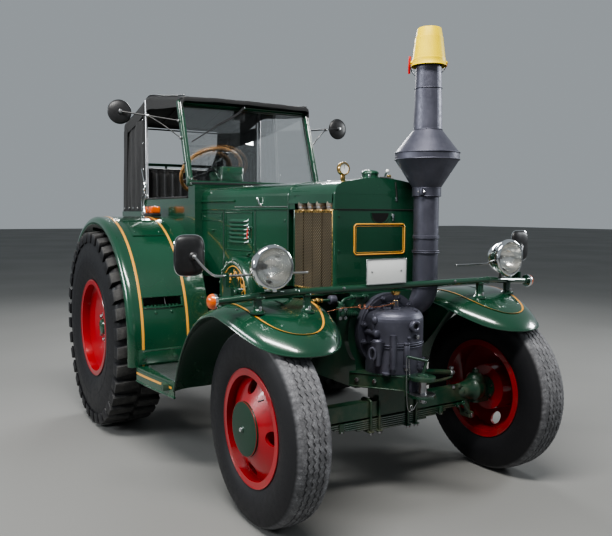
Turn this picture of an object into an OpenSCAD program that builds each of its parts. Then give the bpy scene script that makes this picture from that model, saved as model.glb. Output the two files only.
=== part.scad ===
// Vintage hot-bulb tractor with an open-sided cab and a soft top, on rubber tyres.
// X runs forward, Y to the driver's left and Z up. The origin is on the ground,
// below the middle of the tractor's outline.

/* [Wheels and axles] */
// Distance from the front axle to the rear axle
wheelbase = 1975; // [1900:5:2050]
// Distance of the rear axle behind the origin
rear_axle_back = 600; // [560:5:640]
// Radius of the front tyre over its tread
front_tyre_r = 463; // [445:1:475]
// Width of the front tyre at its bulge
front_tyre_w = 205; // [190:1:215]
// Half of the front track, to the middle of the tyre
front_half_track = 742; // [730:1:755]
// Radius of the seat that the front tyre's bead sits on
front_bead_r = 254; // [245:1:262]
// Width of the front rim over its flanges
front_rim_w = 170; // [150:1:180]
// Radius of the rear tyre out to its lugs
rear_tyre_r = 670; // [650:1:690]
// Width of the rear tyre at its bulge
rear_tyre_w = 330; // [310:1:345]
// Half of the rear track, to the middle of the tyre
rear_half_track = 898; // [890:1:910]
// Radius of the seat that the rear tyre's bead sits on
rear_bead_r = 305; // [295:1:315]
// Width of the rear rim over its flanges
rear_rim_w = 280; // [260:1:290]
// Height of a rim flange above its bead seat
flange_h = 24; // [20:1:28]
// Thickness of the rims and wheel discs
rim_t = 8; // [6:1:10]
// Radius of the front stub axle
stub_r = 30; // [25:1:34]
// Radius of the rear axle shaft
shaft_r = 45; // [40:1:50]
// Running clearance of a shaft in its bore
bore_gap = 0.05; // [0.02:0.01:0.1]

/* [Steering] */
// Distance of a kingpin from the centre plane
kingpin_y = 620; // [600:5:640]
// Radius of a kingpin
kingpin_r = 20; // [16:1:24]
// Distance of the track rod behind the kingpins
steer_arm = 170; // [150:5:190]
// Steering wheel radius to the middle of its rim
steer_wheel_r = 225; // [200:5:250]
// Place of the steering wheel hub to the right of the centre plane
steer_wheel_y = 190; // [150:5:220]

/* [Castings] */
// Half width of the engine block
block_half_w = 190; // [170:5:210]
// Height of the top of the engine block
block_top = 1050; // [1030:5:1060]
// Height of the bottom of the engine block
block_bottom = 560; // [540:5:580]
// Height of the crankshaft and of the cylinder's axis
crank_z = 852; // [840:2:890]
// Radius of the cylinder head's flange
head_flange_r = 198; // [190:2:215]
// Height of the top of the gearbox, where the cab floor lies
gearbox_top = 885; // [870:5:900]
// Radius of the flywheel casings at the sides
flywheel_r = 215; // [200:5:230]
// Distance of the flywheel casings' outer faces from the centre plane
flywheel_y = 450; // [430:5:460]

/* [Hood] */
// Distance of the hood's front panel ahead of the origin
hood_front = 1272; // [1260:2:1290]
// Half width of the hood's front section
hood_half_w = 288; // [280:1:300]
// Height of the seam between the front panel and the tank
seam_z = 1484; // [1470:2:1500]
// Height of the hood's crown
hood_top = 1650; // [1630:5:1670]
// Half width of the hood at the cowl
cowl_half_w = 450; // [430:5:460]
// Distance that a radiator's core stands out of the hood's side
radiator_proud = 6; // [2:1:20]
// Length of a side radiator
radiator_l = 386; // [360:2:400]

/* [Cab] */
// Distance of the cab's front wall behind the origin
cab_front = 130; // [120:5:140]
// Distance of the cab's rear wall behind the origin
cab_rear = 1675; // [1640:5:1690]
// Half width of the cab
cab_half_w = 500; // [490:5:510]
// Thickness of the cab's walls
cab_wall = 20; // [14:1:26]
// Height of the side walls beside the driver
waist_z = 1560; // [1540:5:1580]
// Height of the body behind the driver
tail_z = 1472; // [1450:2:1490]
// Drop from the soft top's highest line to the top of the windscreen frame
screen_drop = 136; // [126:2:150]
// Backward lean of the windscreen from its foot to its top
screen_lean = 190; // [170:5:210]
// Height of the soft top's highest line
roof_peak = 2362; // [2350:2:2380]
// Thickness of the folded cloth of the soft top
cloth_t = 20; // [14:1:26]
// Width of the opening in the rear of the soft top
rear_window_w = 728; // [680:4:760]

/* [Wings and boards] */
// Radius of a rear mudguard over its skin
mudguard_r = 770; // [760:5:785]
// Distance of a mudguard's outer edge from the centre plane
mudguard_y = 1020; // [1005:5:1030]
// Thickness of the wings' and mudguards' sheet
sheet_t = 12; // [8:1:14]
// Radius of a front wing over its skin
wing_r = 640; // [630:5:650]
// Distance of a front wing's outer edge from the centre plane
wing_y = 930; // [915:5:940]
// Distance of the front wings' front edge ahead of the origin
wing_front = 1710; // [1700:2:1720]
// Height of the running boards
board_z = 540; // [520:5:560]

/* [Front fittings] */
// Height of the lamp bar's middle
bar_z = 1097; // [1090:1:1105]
// Distance of the lamp bar ahead of the origin
bar_x = 1450; // [1446:1:1460]
// Half length of the lamp bar
bar_half_l = 995; // [970:5:1010]
// Distance of a headlamp from the centre plane
lamp_y = 756; // [740:2:770]
// Height of a headlamp's middle
lamp_z = 1217; // [1205:2:1230]
// Radius of a headlamp's rim
lamp_r = 105; // [95:1:112]
// Width and height of the number plate
plate_size = [255, 130]; // [100:5:300]
// Distance of the exhaust stack from the centre plane
stack_y = 240; // [235:1:245]
// Distance of the exhaust stack ahead of the origin
stack_x = 1362; // [1358:1:1366]
// Radius of the exhaust stack's lower pipe
stack_r = 67; // [60:1:70]
// Radius of the exhaust stack's silencer cone
cone_r = 170; // [165:1:175]

/* [Hidden] */
$fn = 64;

green = [0.03, 0.18, 0.10];
dark = [0.12, 0.12, 0.13];
red = [0.72, 0.05, 0.07];
rubber = [0.09, 0.09, 0.09];
black = [0.04, 0.04, 0.05];
chrome = [0.80, 0.81, 0.83];
bronze = [0.34, 0.26, 0.19];
amber = [0.85, 0.42, 0.08];
tan_rim = [0.62, 0.45, 0.26];

RIGHT = -1;
LEFT = 1;
rear_x = -rear_axle_back;
front_x = wheelbase - rear_axle_back;
seat_gap = 0.3;

// Draws a left-hand piece on the side that is asked for
module on_side(side) mirror([0, side < 0 ? 1 : 0, 0]) children();
// Draws a left-hand piece on both sides
module both_sides() for (side = [RIGHT, LEFT]) on_side(side) children();
// Turns a profile of radius and place about the Y axis
module spin_y() rotate([-90, 0, 0]) rotate_extrude() children();
// Turns a profile of radius and place about the X axis
module spin_x() rotate([0, 90, 0]) rotate_extrude() children();
// Stretches a profile of X and Z along Y, from y0 to y1
module along_y(y0, y1) translate([0, y1, 0]) rotate([90, 0, 0]) linear_extrude(y1 - y0) children();
// A box from its lowest to its highest corner
module block(low, high) translate(low) cube(high - low);
// A round bar between two points
module bar(a, b, r) {
    d = b - a;
    translate(a) rotate([0, acos(d[2] / norm(d)), atan2(d[1], d[0])]) cylinder(r = r, h = norm(d));
}
// Points of an arc in the XZ plane, in degrees up from +X
function arc(centre, r, a0, a1, n) =
    [for (i = [0:n]) let (a = a0 + (a1 - a0) * i / n) centre + r * [cos(a), sin(a)]];
function flip(list) = [for (i = [len(list) - 1:-1:0]) list[i]];

// Castings

block_rear = 250;
block_front = 1330;
gearbox_half_w = 170;
gearbox_bottom = 480;
axle_half_l = 180;
collar_r = 240;
collar_l = 40;
module engine_block() color(green) {
    block([block_rear, -block_half_w, block_bottom], [block_front, block_half_w, block_top]);
    intersection() {
        translate([block_front - collar_l, 0, crank_z]) rotate([0, 90, 0])
            cylinder(r = collar_r, h = collar_l);
        block([block_rear, -collar_r, 600], [block_front, collar_r, block_top]);
    }
}

module gearbox() color(green)
    block([rear_x + axle_half_l, -gearbox_half_w, gearbox_bottom],
          [block_rear, gearbox_half_w, gearbox_top]);

trumpet_r = 95;
trumpet_end = 705;
rear_hub_in = 710;
rear_hub_r = 110;
module rear_axle() color(green) {
    block([rear_x - axle_half_l, -gearbox_half_w, gearbox_bottom],
          [rear_x + axle_half_l, gearbox_half_w, gearbox_top]);
    translate([rear_x, 0, rear_tyre_r]) spin_y() union() {
        translate([0, -trumpet_end]) square([trumpet_r, 2 * trumpet_end]);
        translate([0, -rear_half_track - 70]) square([shaft_r, 2 * rear_half_track + 140]);
    }
}

// Cylinder head: a flange, and before it an upright barrel with its bosses, studs and oil cup
barrel_x = 1396;
barrel_r = 155;
barrel_z = [654, 975];
barrel_round = 56;
split_z = 802;
stud_at = [1529, -104];
boss_at = [1462, -150];
module cylinder_head() {
    color(dark) {
        translate([block_front, 0, crank_z]) spin_x()
            polygon([[0, 0], [head_flange_r, 0], [head_flange_r, 34], [150, 34], [150, 60], [0, 60]]);
        intersection() {
            translate([barrel_x, 0, 0]) rotate_extrude() polygon(concat(
                [[0, barrel_z[0]], [barrel_r - 4, barrel_z[0]], [barrel_r - 4, split_z - 4],
                 [barrel_r - 9, split_z - 4], [barrel_r - 9, split_z], [barrel_r, split_z]],
                arc([barrel_r - barrel_round, barrel_z[1] - barrel_round], barrel_round, 0, 90, 6),
                [[0, barrel_z[1]]]));
            block([block_front + 20, -barrel_r, 600], [1600, barrel_r, 1000]);
        }
        translate([stud_at[0], stud_at[1], 690]) cylinder(r = 17, h = 170);
        translate([boss_at[0], boss_at[1], 700]) cylinder(r1 = 18, r2 = 36, h = 122);
        bar([block_front + 20, -150, 860], [1458, -150, 860], 16);
        translate([barrel_x + barrel_r - 8, 8, 900]) rotate([0, 90, 0]) difference() {
            cylinder(r = 30, h = 22);
            translate([0, 0, 10]) cylinder(r = 14, h = 20);
        }
        translate([1440, -22, barrel_z[1] - 2]) cylinder(r = 15, h = 46);
    }
    color("goldenrod") translate([1440, -22, barrel_z[1] + 40]) cylinder(r1 = 8, r2 = 23, h = 50);
}

// Exhaust stack as radius and height above its elbow
elbow_r = 110;
elbow_turn = 65;
stack_foot = block_top + 20;
weld_z = 1256;
silencer_z = 1748;
stack_top = 2360;
stack_neck_r = 76;
stack_end_r = 64;
module exhaust_stack() color(dark) {
    translate([stack_x, stack_y, 0]) rotate_extrude() polygon([
        [0, stack_foot], [stack_r + 6, stack_foot], [stack_r + 6, stack_foot + 12],
        [stack_r, stack_foot + 12], [stack_r, weld_z], [stack_r + 5, weld_z],
        [stack_r + 5, weld_z + 10], [stack_r, weld_z + 10], [stack_r, silencer_z - 192],
        [stack_r + 8, silencer_z - 192], [stack_r + 8, silencer_z - 148], [cone_r, silencer_z],
        [cone_r, silencer_z + 36], [stack_neck_r, silencer_z + 157], [stack_end_r, stack_top],
        [0, stack_top]]);
    difference() {
        translate([stack_x, stack_y, 0]) rotate([0, 0, -elbow_turn]) {
            translate([0, -elbow_r, stack_foot]) rotate([90, 0, 90])
                rotate_extrude(angle = -90) translate([elbow_r, 0]) circle(r = stack_r);
            translate([0, -elbow_r, stack_foot - elbow_r]) rotate([90, 0, 0])
                cylinder(r = stack_r + 6, h = 130);
        }
        block([stack_x - 400, -200, block_bottom],
              [block_front + seat_gap, block_half_w, block_top + seat_gap]);
        block([stack_x - 400, 100, block_bottom], [1186, 400, block_top + 40]);
        translate([block_front, 0, crank_z]) rotate([0, 90, 0])
            cylinder(r = head_flange_r + seat_gap, h = 60);
        translate([block_front - collar_l - seat_gap, 0, crank_z]) rotate([0, 90, 0])
            cylinder(r = collar_r + seat_gap, h = collar_l + 2 * seat_gap);
    }
}

pail_foot = stack_top - 124;
pail_h = 197;
pail_r = 91;
pail_end_r = 63;
pail_t = 2;
module rain_pail() color("gold") difference() {
    translate([stack_x, stack_y, pail_foot]) cylinder(r1 = pail_r, r2 = pail_end_r, h = pail_h);
    translate([stack_x, stack_y, pail_foot - 1])
        cylinder(r1 = pail_r - pail_t, r2 = stack_end_r + 0.5, h = stack_top - pail_foot + 1.3);
}

// Hood

panel_t = 10;
tank_rear = 800;
shoulder_r = 62;
crown_h = 26;
// Height of the crowned top at a distance y from the centre plane
function crown_z(y, half_w, top) = top - crown_h * pow(y / (half_w - shoulder_r), 2);
// Outline across the hood, from the height low up over its crown
function hood_outline(half_w, low, top) =
    let (s = half_w - shoulder_r, z = top - crown_h - shoulder_r) concat(
    [[half_w, low]], arc([s, z], shoulder_r, 0, 75, 6),
    [for (i = [1:9]) let (y = s * (1 - i / 5)) [y, crown_z(y, half_w, top)]],
    arc([-s, z], shoulder_r, 105, 180, 6), [[-half_w, low]]);
// Stretches an outline of Y and Z along X, from x0 to x1
module along_x(x0, x1) translate([x0, 0, 0]) rotate([90, 0, 90]) linear_extrude(x1 - x0) children();
// Half-round grip recess under the seam, and the plain raised frame below it
recess_r = 60;
recess_z = 1465;
frame_half_w = 166;
frame_z = [1248, 1407];
frame_w = 10;
module front_panel() color(green) {
    difference() {
        block([hood_front - panel_t, -hood_half_w, block_top], [hood_front, hood_half_w, seam_z]);
        intersection() {
            translate([hood_front - 6, 0, recess_z]) rotate([0, 90, 0]) cylinder(r = recess_r, h = 20);
            block([0, -recess_r, recess_z - recess_r], [hood_front + 20, recess_r, recess_z]);
        }
    }
    difference() {
        block([hood_front - 1, -frame_half_w, frame_z[0]], [hood_front + 3, frame_half_w, frame_z[1]]);
        block([hood_front - 2, -frame_half_w + frame_w, frame_z[0] + frame_w],
              [hood_front + 4, frame_half_w - frame_w, frame_z[1] - frame_w]);
    }
}

pocket_top = 1560;
module fuel_tank() color(green) difference() {
    along_x(tank_rear, hood_front) polygon(hood_outline(hood_half_w, seam_z, hood_top));
    both_sides() block([hood_front - panel_t - radiator_l - 4, 224, seam_z - 1],
                       [hood_front - panel_t + 2, 400, pocket_top]);
}

hood_rear = -60;
louvre_n = 6;
louvre_x = [240, 430];
louvre_z = [1275, 1430];
module hood() color(green) difference() {
    hull() {
        along_x(tank_rear - 1, tank_rear) polygon(hood_outline(hood_half_w, block_top, hood_top));
        along_x(hood_rear, hood_rear + 1) polygon(hood_outline(cowl_half_w, block_top, hood_top));
    }
    both_sides() for (i = [0:louvre_n - 1]) {
        z = louvre_z[0] + (i + 0.5) * (louvre_z[1] - louvre_z[0]) / louvre_n;
        block([louvre_x[0], 320, z - 5], [louvre_x[1], 480, z + 5]);
    }
    translate([flywheel_x, 0, flywheel_z]) spin_y() translate([0, -500]) square([flywheel_r + 2, 1000]);
}

flywheel_x = 400;
flywheel_z = 985;
module flywheel_cases() color(green) both_sides()
    translate([flywheel_x, 0, flywheel_z]) spin_y() translate([0, block_half_w])
        square([flywheel_r, flywheel_y - block_half_w]);

// Header tubes that stand on a radiator
tube_n = 4;
tube_r = 31;
module radiators() color(bronze) both_sides() {
    x0 = hood_front - panel_t - radiator_l;
    block([x0, 210, block_top], [x0 + radiator_l, hood_half_w + radiator_proud, seam_z]);
    for (i = [0:tube_n - 1])
        translate([x0 + (i + 0.5) * radiator_l / tube_n, hood_half_w + radiator_proud - tube_r, seam_z - 1])
            cylinder(r = tube_r, h = 63);
}

// Filler cap on the tank and the water thermometer beside it
cap_x = 1180;
gauge_at = [1140, -150];
module tank_fittings() {
    color(green) translate([cap_x, 0, hood_top + seat_gap]) rotate_extrude()
        polygon([[0, 0], [52, 0], [52, 6], [44, 8], [44, 22], [48, 24], [48, 36], [38, 42], [0, 46]]);
    color("goldenrod") translate([gauge_at[0], gauge_at[1],
                                  crown_z(gauge_at[1] + 14, hood_half_w, hood_top) + seat_gap]) {
        cylinder(r = 14, h = 24);
        translate([-12, 0, 50]) rotate([0, 90, 0]) cylinder(r = 36, h = 30);
    }
}

// Cab

floor_z = gearbox_top;
scuttle_low = 1100;
dash_l = 44;
dash_low = 1520;
screen_foot = hood_top - 6;
tail_front = 1113;
module cab_tub() color(green) difference() {
    union() {
        block([-tail_front, -cab_half_w, floor_z], [-cab_front, cab_half_w, waist_z]);
        block([-cab_rear, -cab_half_w, floor_z], [-tail_front, cab_half_w, tail_z]);
        block([-cab_front, -cab_half_w, scuttle_low], [hood_rear - seat_gap, cab_half_w, screen_foot]);
        block([-cab_front - dash_l, -cab_half_w, dash_low], [-cab_front, cab_half_w, screen_foot]);
    }
    block([-cab_rear + cab_wall, -cab_half_w + cab_wall, floor_z + cab_wall],
          [-cab_front - cab_wall, cab_half_w - cab_wall, dash_low]);
    block([-cab_rear + cab_wall, -cab_half_w + cab_wall, dash_low - 1],
          [-cab_front - dash_l, cab_half_w - cab_wall, waist_z + 1]);
}

// Windscreen: its foot stands on the cowl, its top leans back
screen_top = roof_peak - screen_drop;
lean_deg = atan(screen_lean / (screen_top - screen_foot));
screen_h = (screen_top - screen_foot) / cos(lean_deg);
screen_w = cab_half_w + 12;
post_w = 34;
module in_screen_plane() translate([-cab_front, 0, screen_foot]) rotate([0, -lean_deg, 0]) children();
module windscreen_frame() color(green) difference() {
    in_screen_plane() difference() {
        block([-post_w, -screen_w, -20], [0, screen_w, screen_h]);
        block([-post_w - 1, -screen_w + post_w, post_w], [1, screen_w - post_w, screen_h - post_w]);
    }
    block([-400, -screen_w - 1, screen_foot - 100], [100, screen_w + 1, screen_foot + seat_gap]);
}
module windscreen_glass() color([0.7, 0.8, 0.8, 0.4]) in_screen_plane()
    block([-20, -screen_w + post_w, post_w], [-14, screen_w - post_w, screen_h - post_w]);

// Round mirrors on long arms from the windscreen posts
top_mirror_at = [-435, 875, 2138];
top_mirror_r = 82;
module top_mirrors() color(black) both_sides() {
    translate(top_mirror_at) rotate([0, 90, 0]) cylinder(r = top_mirror_r, h = 24, center = true);
    bar([-264, screen_w + 5.3, 2000], top_mirror_at - [0, top_mirror_r - 8, 0], 8);
}

roof_front = 267;
roof_peak_x = -1000;
roof_tail_x = -1610;
roof_front_drop = 105;
roof_tail_drop = 150;
roof_curve = 1.1;
function roof_z(x) = roof_peak - (x > roof_peak_x
    ? roof_front_drop * pow((x - roof_peak_x) / (-roof_front - roof_peak_x), roof_curve)
    : roof_tail_drop * pow((x - roof_peak_x) / (roof_tail_x - roof_peak_x), roof_curve));
roof_line = [for (i = [0:12]) let (x = -roof_front + (roof_tail_x + roof_front) * i / 12) [x, roof_z(x)]];
roof_under = [for (p = flip(roof_line)) p - [0, cloth_t]];
rear_window_z = [tail_z + 328, roof_z(roof_tail_x) - 37];
module soft_top() color(black) {
    difference() {
        along_y(-cab_half_w, cab_half_w) polygon(concat(roof_line,
            [[-cab_rear, tail_z + seat_gap], [-cab_rear + cloth_t, tail_z + seat_gap],
             [roof_tail_x + cloth_t, roof_z(roof_tail_x) - cloth_t]], roof_under));
        block([-cab_rear - 20, -rear_window_w / 2, rear_window_z[0]],
              [roof_tail_x + 50, rear_window_w / 2, rear_window_z[1]]);
    }
    both_sides() along_y(cab_half_w - cloth_t, cab_half_w) polygon([
        [-tail_front, tail_z + seat_gap], [-tail_front, roof_z(-tail_front) - cloth_t],
        [roof_tail_x + cloth_t, roof_z(roof_tail_x) - cloth_t], [-cab_rear + cloth_t, tail_z + seat_gap]]);
}

// The hoop under the cloth
bow_x = -1045;
bow_r = 11;
bow_y = cab_half_w - cloth_t - bow_r - 1;
module top_bows() color(chrome) {
    top = roof_z(bow_x) - cloth_t - bow_r - 4;
    both_sides() translate([bow_x, cab_half_w - cab_wall / 2, waist_z])
        cylinder(r = bow_r, h = top - waist_z);
    translate([bow_x, 0, top]) rotate([90, 0, 0])
        cylinder(r = bow_r, h = 2 * cab_half_w - cab_wall, center = true);
    both_sides() translate([bow_x, cab_half_w - cab_wall / 2, top]) sphere(r = bow_r);
}

seat_x = [-1350, -880];
seat_half_w = 400;
seat_z = 1300;
cushion_h = 120;
seat_back_h = 540;
module seat_box() color(green)
    block([seat_x[0] - 60, -seat_half_w, floor_z + cab_wall], [seat_x[1], seat_half_w, seat_z]);
module seat_cushion() color(black)
    block([seat_x[0] + 62, -seat_half_w, seat_z + seat_gap],
          [seat_x[1] - 2, seat_half_w, seat_z + cushion_h]);
module seat_back() color(black)
    block([seat_x[0] - 58, -seat_half_w, seat_z + seat_gap],
          [seat_x[0] + 60, seat_half_w, seat_z + seat_back_h]);

// Steering column from the cab's front wall up to the wheel
column_foot = [-cab_front - cab_wall, -steer_wheel_y, 1400];
column_top = [-500, -steer_wheel_y, 1760];
column_d = column_top - column_foot;
column_len = norm(column_d);
column_tilt = atan2(column_d[0], column_d[2]);
column_shaft_r = 14;
module on_column() translate(column_top) rotate([0, column_tilt, 0]) children();
module steering_column() color(green) difference() {
    on_column() {
        translate([0, 0, -column_len]) cylinder(r = 26, h = column_len - 24);
        translate([0, 0, -30]) cylinder(r = column_shaft_r, h = 52);
    }
    block([-cab_front - cab_wall, -500, 1200], [0, 0, 1600]);
}
module steering_wheel() {
    color(tan_rim) on_column() rotate_extrude() translate([steer_wheel_r, 0]) circle(r = 14);
    color(dark) on_column() difference() {
        union() {
            translate([0, 0, -20]) cylinder(r = 38, h = 40);
            for (a = [0:120:359]) rotate([0, 0, a])
                translate([30, -12, -6]) cube([steer_wheel_r - 42, 24, 10]);
        }
        translate([0, 0, -40]) cylinder(r = column_shaft_r + bore_gap, h = 80);
    }
}

// Hand levers on the floor, as foot and handle
lever_foot_z = floor_z + cab_wall + 2.2;
lever_at = [[[-420, 60, lever_foot_z], [-520, 90, 1500]], [[-420, 120, lever_foot_z], [-480, 160, 1440]]];
module hand_levers() color(chrome) for (p = lever_at) {
    bar(p[0], p[1], 10);
    translate(p[1]) sphere(r = 22);
}

// Front fittings

// Lamp bar: straight in the middle, its ends swept back and down
bar_r = 17;
bend_y = 620;
bar_end = [bar_x - 58, bar_half_l, bar_z - 27];
function bar_at(y) = y < bend_y ? [bar_x, y, bar_z]
    : [bar_x, bend_y, bar_z] + (bar_end - [bar_x, bend_y, bar_z]) * (y - bend_y) / (bar_half_l - bend_y);
post_y = [560, 805];
clamp_y = 925;
rod_x = 1338;
rod_z = 1175;
rod_r = 6;
module lamp_bar() color(green) {
    translate([bar_x, 0, bar_z]) rotate([90, 0, 0]) cylinder(r = bar_r, h = 2 * bend_y, center = true);
    both_sides() {
        translate([bar_x, bend_y, bar_z]) sphere(r = bar_r + 3);
        bar([bar_x, bend_y, bar_z], bar_end, bar_r);
        for (y = post_y) let (p = bar_at(y))
            block([p[0] - 14, y - 14, wing_top_z(p[0] - 14) + seat_gap], [p[0] + 14, y + 14, p[2]]);
        difference() {
            block([rod_x - 14, clamp_y - 8, bar_z - 32], [bar_x - 42, clamp_y + 8, rod_z + 14]);
            translate([rod_x, clamp_y - 20, rod_z]) rotate([-90, 0, 0])
                cylinder(r = rod_r + seat_gap, h = 40);
            block([rod_x + 20, clamp_y - 9, bar_z + 30], [bar_x, clamp_y + 9, rod_z + 20]);
        }
    }
}

lamp_x = 1497;
module headlamps() color(chrome) both_sides() {
    translate([lamp_x - 150, lamp_y, lamp_z]) spin_x()
        polygon([[0, 0], [30, 4], [70, 34], [lamp_r - 12, 96], [lamp_r, 118], [lamp_r, 138],
                 [lamp_r - 14, 146], [0, 152]]);
    let (p = bar_at(lamp_y), z = p[2] + bar_r + 1.6)
        translate([p[0], lamp_y, z]) cylinder(r = 12, h = lamp_z - z - 70);
}

module amber_lamps() color(amber) both_sides() {
    translate(bar_end + [0, 3, 0]) rotate([-90, 0, 0]) cylinder(r = 36, h = 40);
    block([rear_x - 120, cab_half_w + 50, mudguard_top(rear_x) - 0.4],
          [rear_x + 40, cab_half_w + 130, mudguard_top(rear_x) + 74]);
}
module tail_lamps() color("darkred") both_sides()
    translate([rear_x, 0, 665]) rotate([0, -tail_lamp_a, 0]) translate([mudguard_r, 940, 0])
        rotate([0, 90, 0]) cylinder(r = 45, h = 40);

// Mirrors on bent rods that the lamp bar's clamps hold
bar_mirror_at = [1276, 1072, 1270];
rod_in = 490;
rod_bend = [rod_x, 968, rod_z - 4];
rod_end = bar_mirror_at + [6, -40, -20];
module bar_mirrors() both_sides() {
    color(black) block(bar_mirror_at - [14, 75, 95], bar_mirror_at + [14, 75, 95]);
    color(chrome) {
        translate([rod_x, rod_in, rod_z]) rotate([-90, 0, 0]) cylinder(r = rod_r, h = rod_bend[1] - rod_in);
        translate(rod_bend + [0, 0, 4]) sphere(r = rod_r + 1);
        bar(rod_bend + [0, 0, 4], rod_end, rod_r);
    }
}

// Blank number plate on two brackets that stand on the bar
plate_y = -105;
plate_x = bar_x + bar_r + 3;
module number_plate() {
    color("white") translate([plate_x, plate_y - plate_size[0] / 2, bar_z + bar_r - 4])
        cube([4, plate_size[0], plate_size[1]]);
    color(black) for (y = [-60, 60]) {
        block([bar_x - 8, plate_y + y - 10, bar_z + bar_r + seat_gap],
              [plate_x + 1, plate_y + y + 10, bar_z + bar_r + 5]);
        block([plate_x - 4, plate_y + y - 10, bar_z + bar_r + seat_gap],
              [plate_x + 1, plate_y + y + 10, bar_z + 100]);
    }
}

// Wings, mudguards and boards

wing_c = [1294, 407];
apron_plan = [[-120, 293], [-64, 323], [26, 423], [102, 518], [102, 573], [-120, 593]];
function wing_top_z(x) = wing_c[1] + sqrt(pow(wing_r, 2) - pow(x - wing_c[0], 2));
wing_rear_a = 172;
wing_in = 366;
wing_roll = 72;
// Outline of a wing in plan: along its inner edge, round its nose and back along its outer edge
wing_plan = concat([[600, wing_in], [1400, wing_in]],
    [[1470, 392], [1540, 428], [1600, 476], [1654, 540], [wing_front - 16, 612]],
    [[wing_front, 690], [wing_front - 10, 752], [1668, 808], [1610, 852], [1540, 886]],
    [[1460, 910], [1370, 925], [1280, wing_y], [600, wing_y]]);
// Height of the lip along the wing's front half
wing_lip = [[1250, 975], [1320, 958], [1400, 938], [1500, 900], [1600, 862], [1720, 842]];
// Section of the rolled skin: radius against distance from the centre plane
function wing_section(d) = concat(
    [for (a = [0:15:90]) let (r = wing_roll - d)
        [wing_r - wing_roll + r * sin(a), wing_in + wing_roll - r * cos(a)]],
    [for (a = [90:-15:0]) let (r = wing_roll - d)
        [wing_r - wing_roll + r * sin(a), wing_y - wing_roll + r * cos(a)]]);
// A wing's rolled form, filled down to a low radius; d is how far it lies under the skin
module wing_form(d, low_r) translate([wing_c[0], 0, wing_c[1]]) spin_y()
    polygon(concat([[low_r, wing_in + d]], wing_section(d), [[low_r, wing_y - d]]));
module front_wing() color(green) {
    difference() {
        intersection() {
            wing_form(0, 300);
            linear_extrude(1400) polygon(wing_plan);
            along_y(wing_in - 1, wing_y + 1) polygon(concat(
                arc(wing_c, wing_r - wing_roll - 1, wing_rear_a, 96, 12), wing_lip,
                [[1720, 1100], [1000, 1100], [620, 900], [620, 497]]));
        }
        intersection() {
            wing_form(sheet_t, 260);
            translate([0, 0, -1]) linear_extrude(1402) offset(delta = -sheet_t) polygon(wing_plan);
        }
    }
    along_y(block_half_w, wing_in + wing_roll - sheet_t) polygon(concat(
        arc(wing_c, wing_r, 100.3, wing_rear_a, 12),
        arc(wing_c, wing_r - sheet_t, wing_rear_a, 100.3, 12)));
    along_y(wing_in + 2, wing_in + sheet_t - 2)
        polygon([for (p = apron_plan) wing_c + p * wing_r / 640]);
}
module front_wing_right() on_side(RIGHT) front_wing();
module front_wing_left() on_side(LEFT) front_wing();

mudguard_c = [rear_x, 665];
mudguard_end_a = 150;
tail_lamp_a = 140;
mudguard_foot = 530;
function mudguard_top(x) = mudguard_c[1] + sqrt(pow(mudguard_r, 2) - pow(x - rear_x, 2));
module mudguard_band(y0, y1, inner_r) along_y(y0, y1) polygon(concat(
    [[rear_x + mudguard_r, mudguard_foot]], arc(mudguard_c, mudguard_r, 0, mudguard_end_a, 24),
    arc(mudguard_c, inner_r, mudguard_end_a, 0, 24), [[rear_x + inner_r, mudguard_foot]]));
module rear_mudguard() color(green) difference() {
    union() {
        mudguard_band(cab_half_w, mudguard_y, mudguard_r - sheet_t);
        mudguard_band(mudguard_y - sheet_t, mudguard_y, mudguard_r - 40);
    }
    block([board_rear - 110, mudguard_y - 350, mudguard_foot + 360],
          [board_rear + 30, mudguard_y - 100, mudguard_foot + 435]);
}
module rear_mudguard_right() on_side(RIGHT) rear_mudguard();
module rear_mudguard_left() on_side(LEFT) rear_mudguard();

board_rear = rear_x + mudguard_r;
board_front = wing_c[0] + wing_r * cos(wing_rear_a) - seat_gap;
board_y = 980;
module running_boards() color(green) both_sides() {
    block([board_rear, 500, board_z - 20], [board_front, board_y, board_z]);
    block([board_rear, board_y - 12, board_z - 90], [board_front, board_y, board_z - 20]);
    for (x = [200, 560]) block([x, x < block_rear ? gearbox_half_w : block_half_w, board_z - 60],
                               [x + 40, board_y - 12, board_z - 20]);
}

// Front axle

beam_z = [420, 500];
beam_half_w = 30;
eye_r = 38;
bracket_z = [577, crank_z - head_flange_r - seat_gap];
bracket_front = 1565;
module axle_bracket() color(green) {
    translate([0, 0, bracket_z[0]]) linear_extrude(bracket_z[1] - bracket_z[0])
        polygon([[block_front, -230], [bracket_front, -62], [bracket_front, 62], [block_front, 230]]);
    block([block_front, -110, beam_z[1] + 5], [front_x + 50, 110, bracket_z[0] + 1]);
}
module front_axle() color(green) difference() {
    union() {
        block([front_x - beam_half_w, -kingpin_y + 20, beam_z[0]],
              [front_x + beam_half_w, kingpin_y - 20, beam_z[1]]);
        both_sides() translate([front_x, kingpin_y, beam_z[0]])
            cylinder(r = eye_r, h = beam_z[1] - beam_z[0]);
        block([front_x - beam_half_w, -60, beam_z[1] - 1], [front_x + beam_half_w, 60, beam_z[1] + 5]);
    }
    both_sides() translate([front_x, kingpin_y, beam_z[0] - 5]) cylinder(r = kingpin_r + bore_gap, h = 110);
}
leaf_n = 6;
leaf_t = 11;
leaf_w = 64;
leaf_half_l = [500, 440, 370, 300, 230, 160];
module leaf_spring() color(green) {
    for (i = [0:leaf_n - 1])
        block([front_x - leaf_w / 2, -leaf_half_l[i], beam_z[0] - 10 - (i + 1) * leaf_t],
              [front_x + leaf_w / 2, leaf_half_l[i], beam_z[0] - 10 - i * leaf_t]);
    for (y = [-490, -30, 430])
        block([front_x - leaf_w / 2, y, beam_z[0] - 11], [front_x + leaf_w / 2, y + 60, beam_z[0]]);
}

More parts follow.
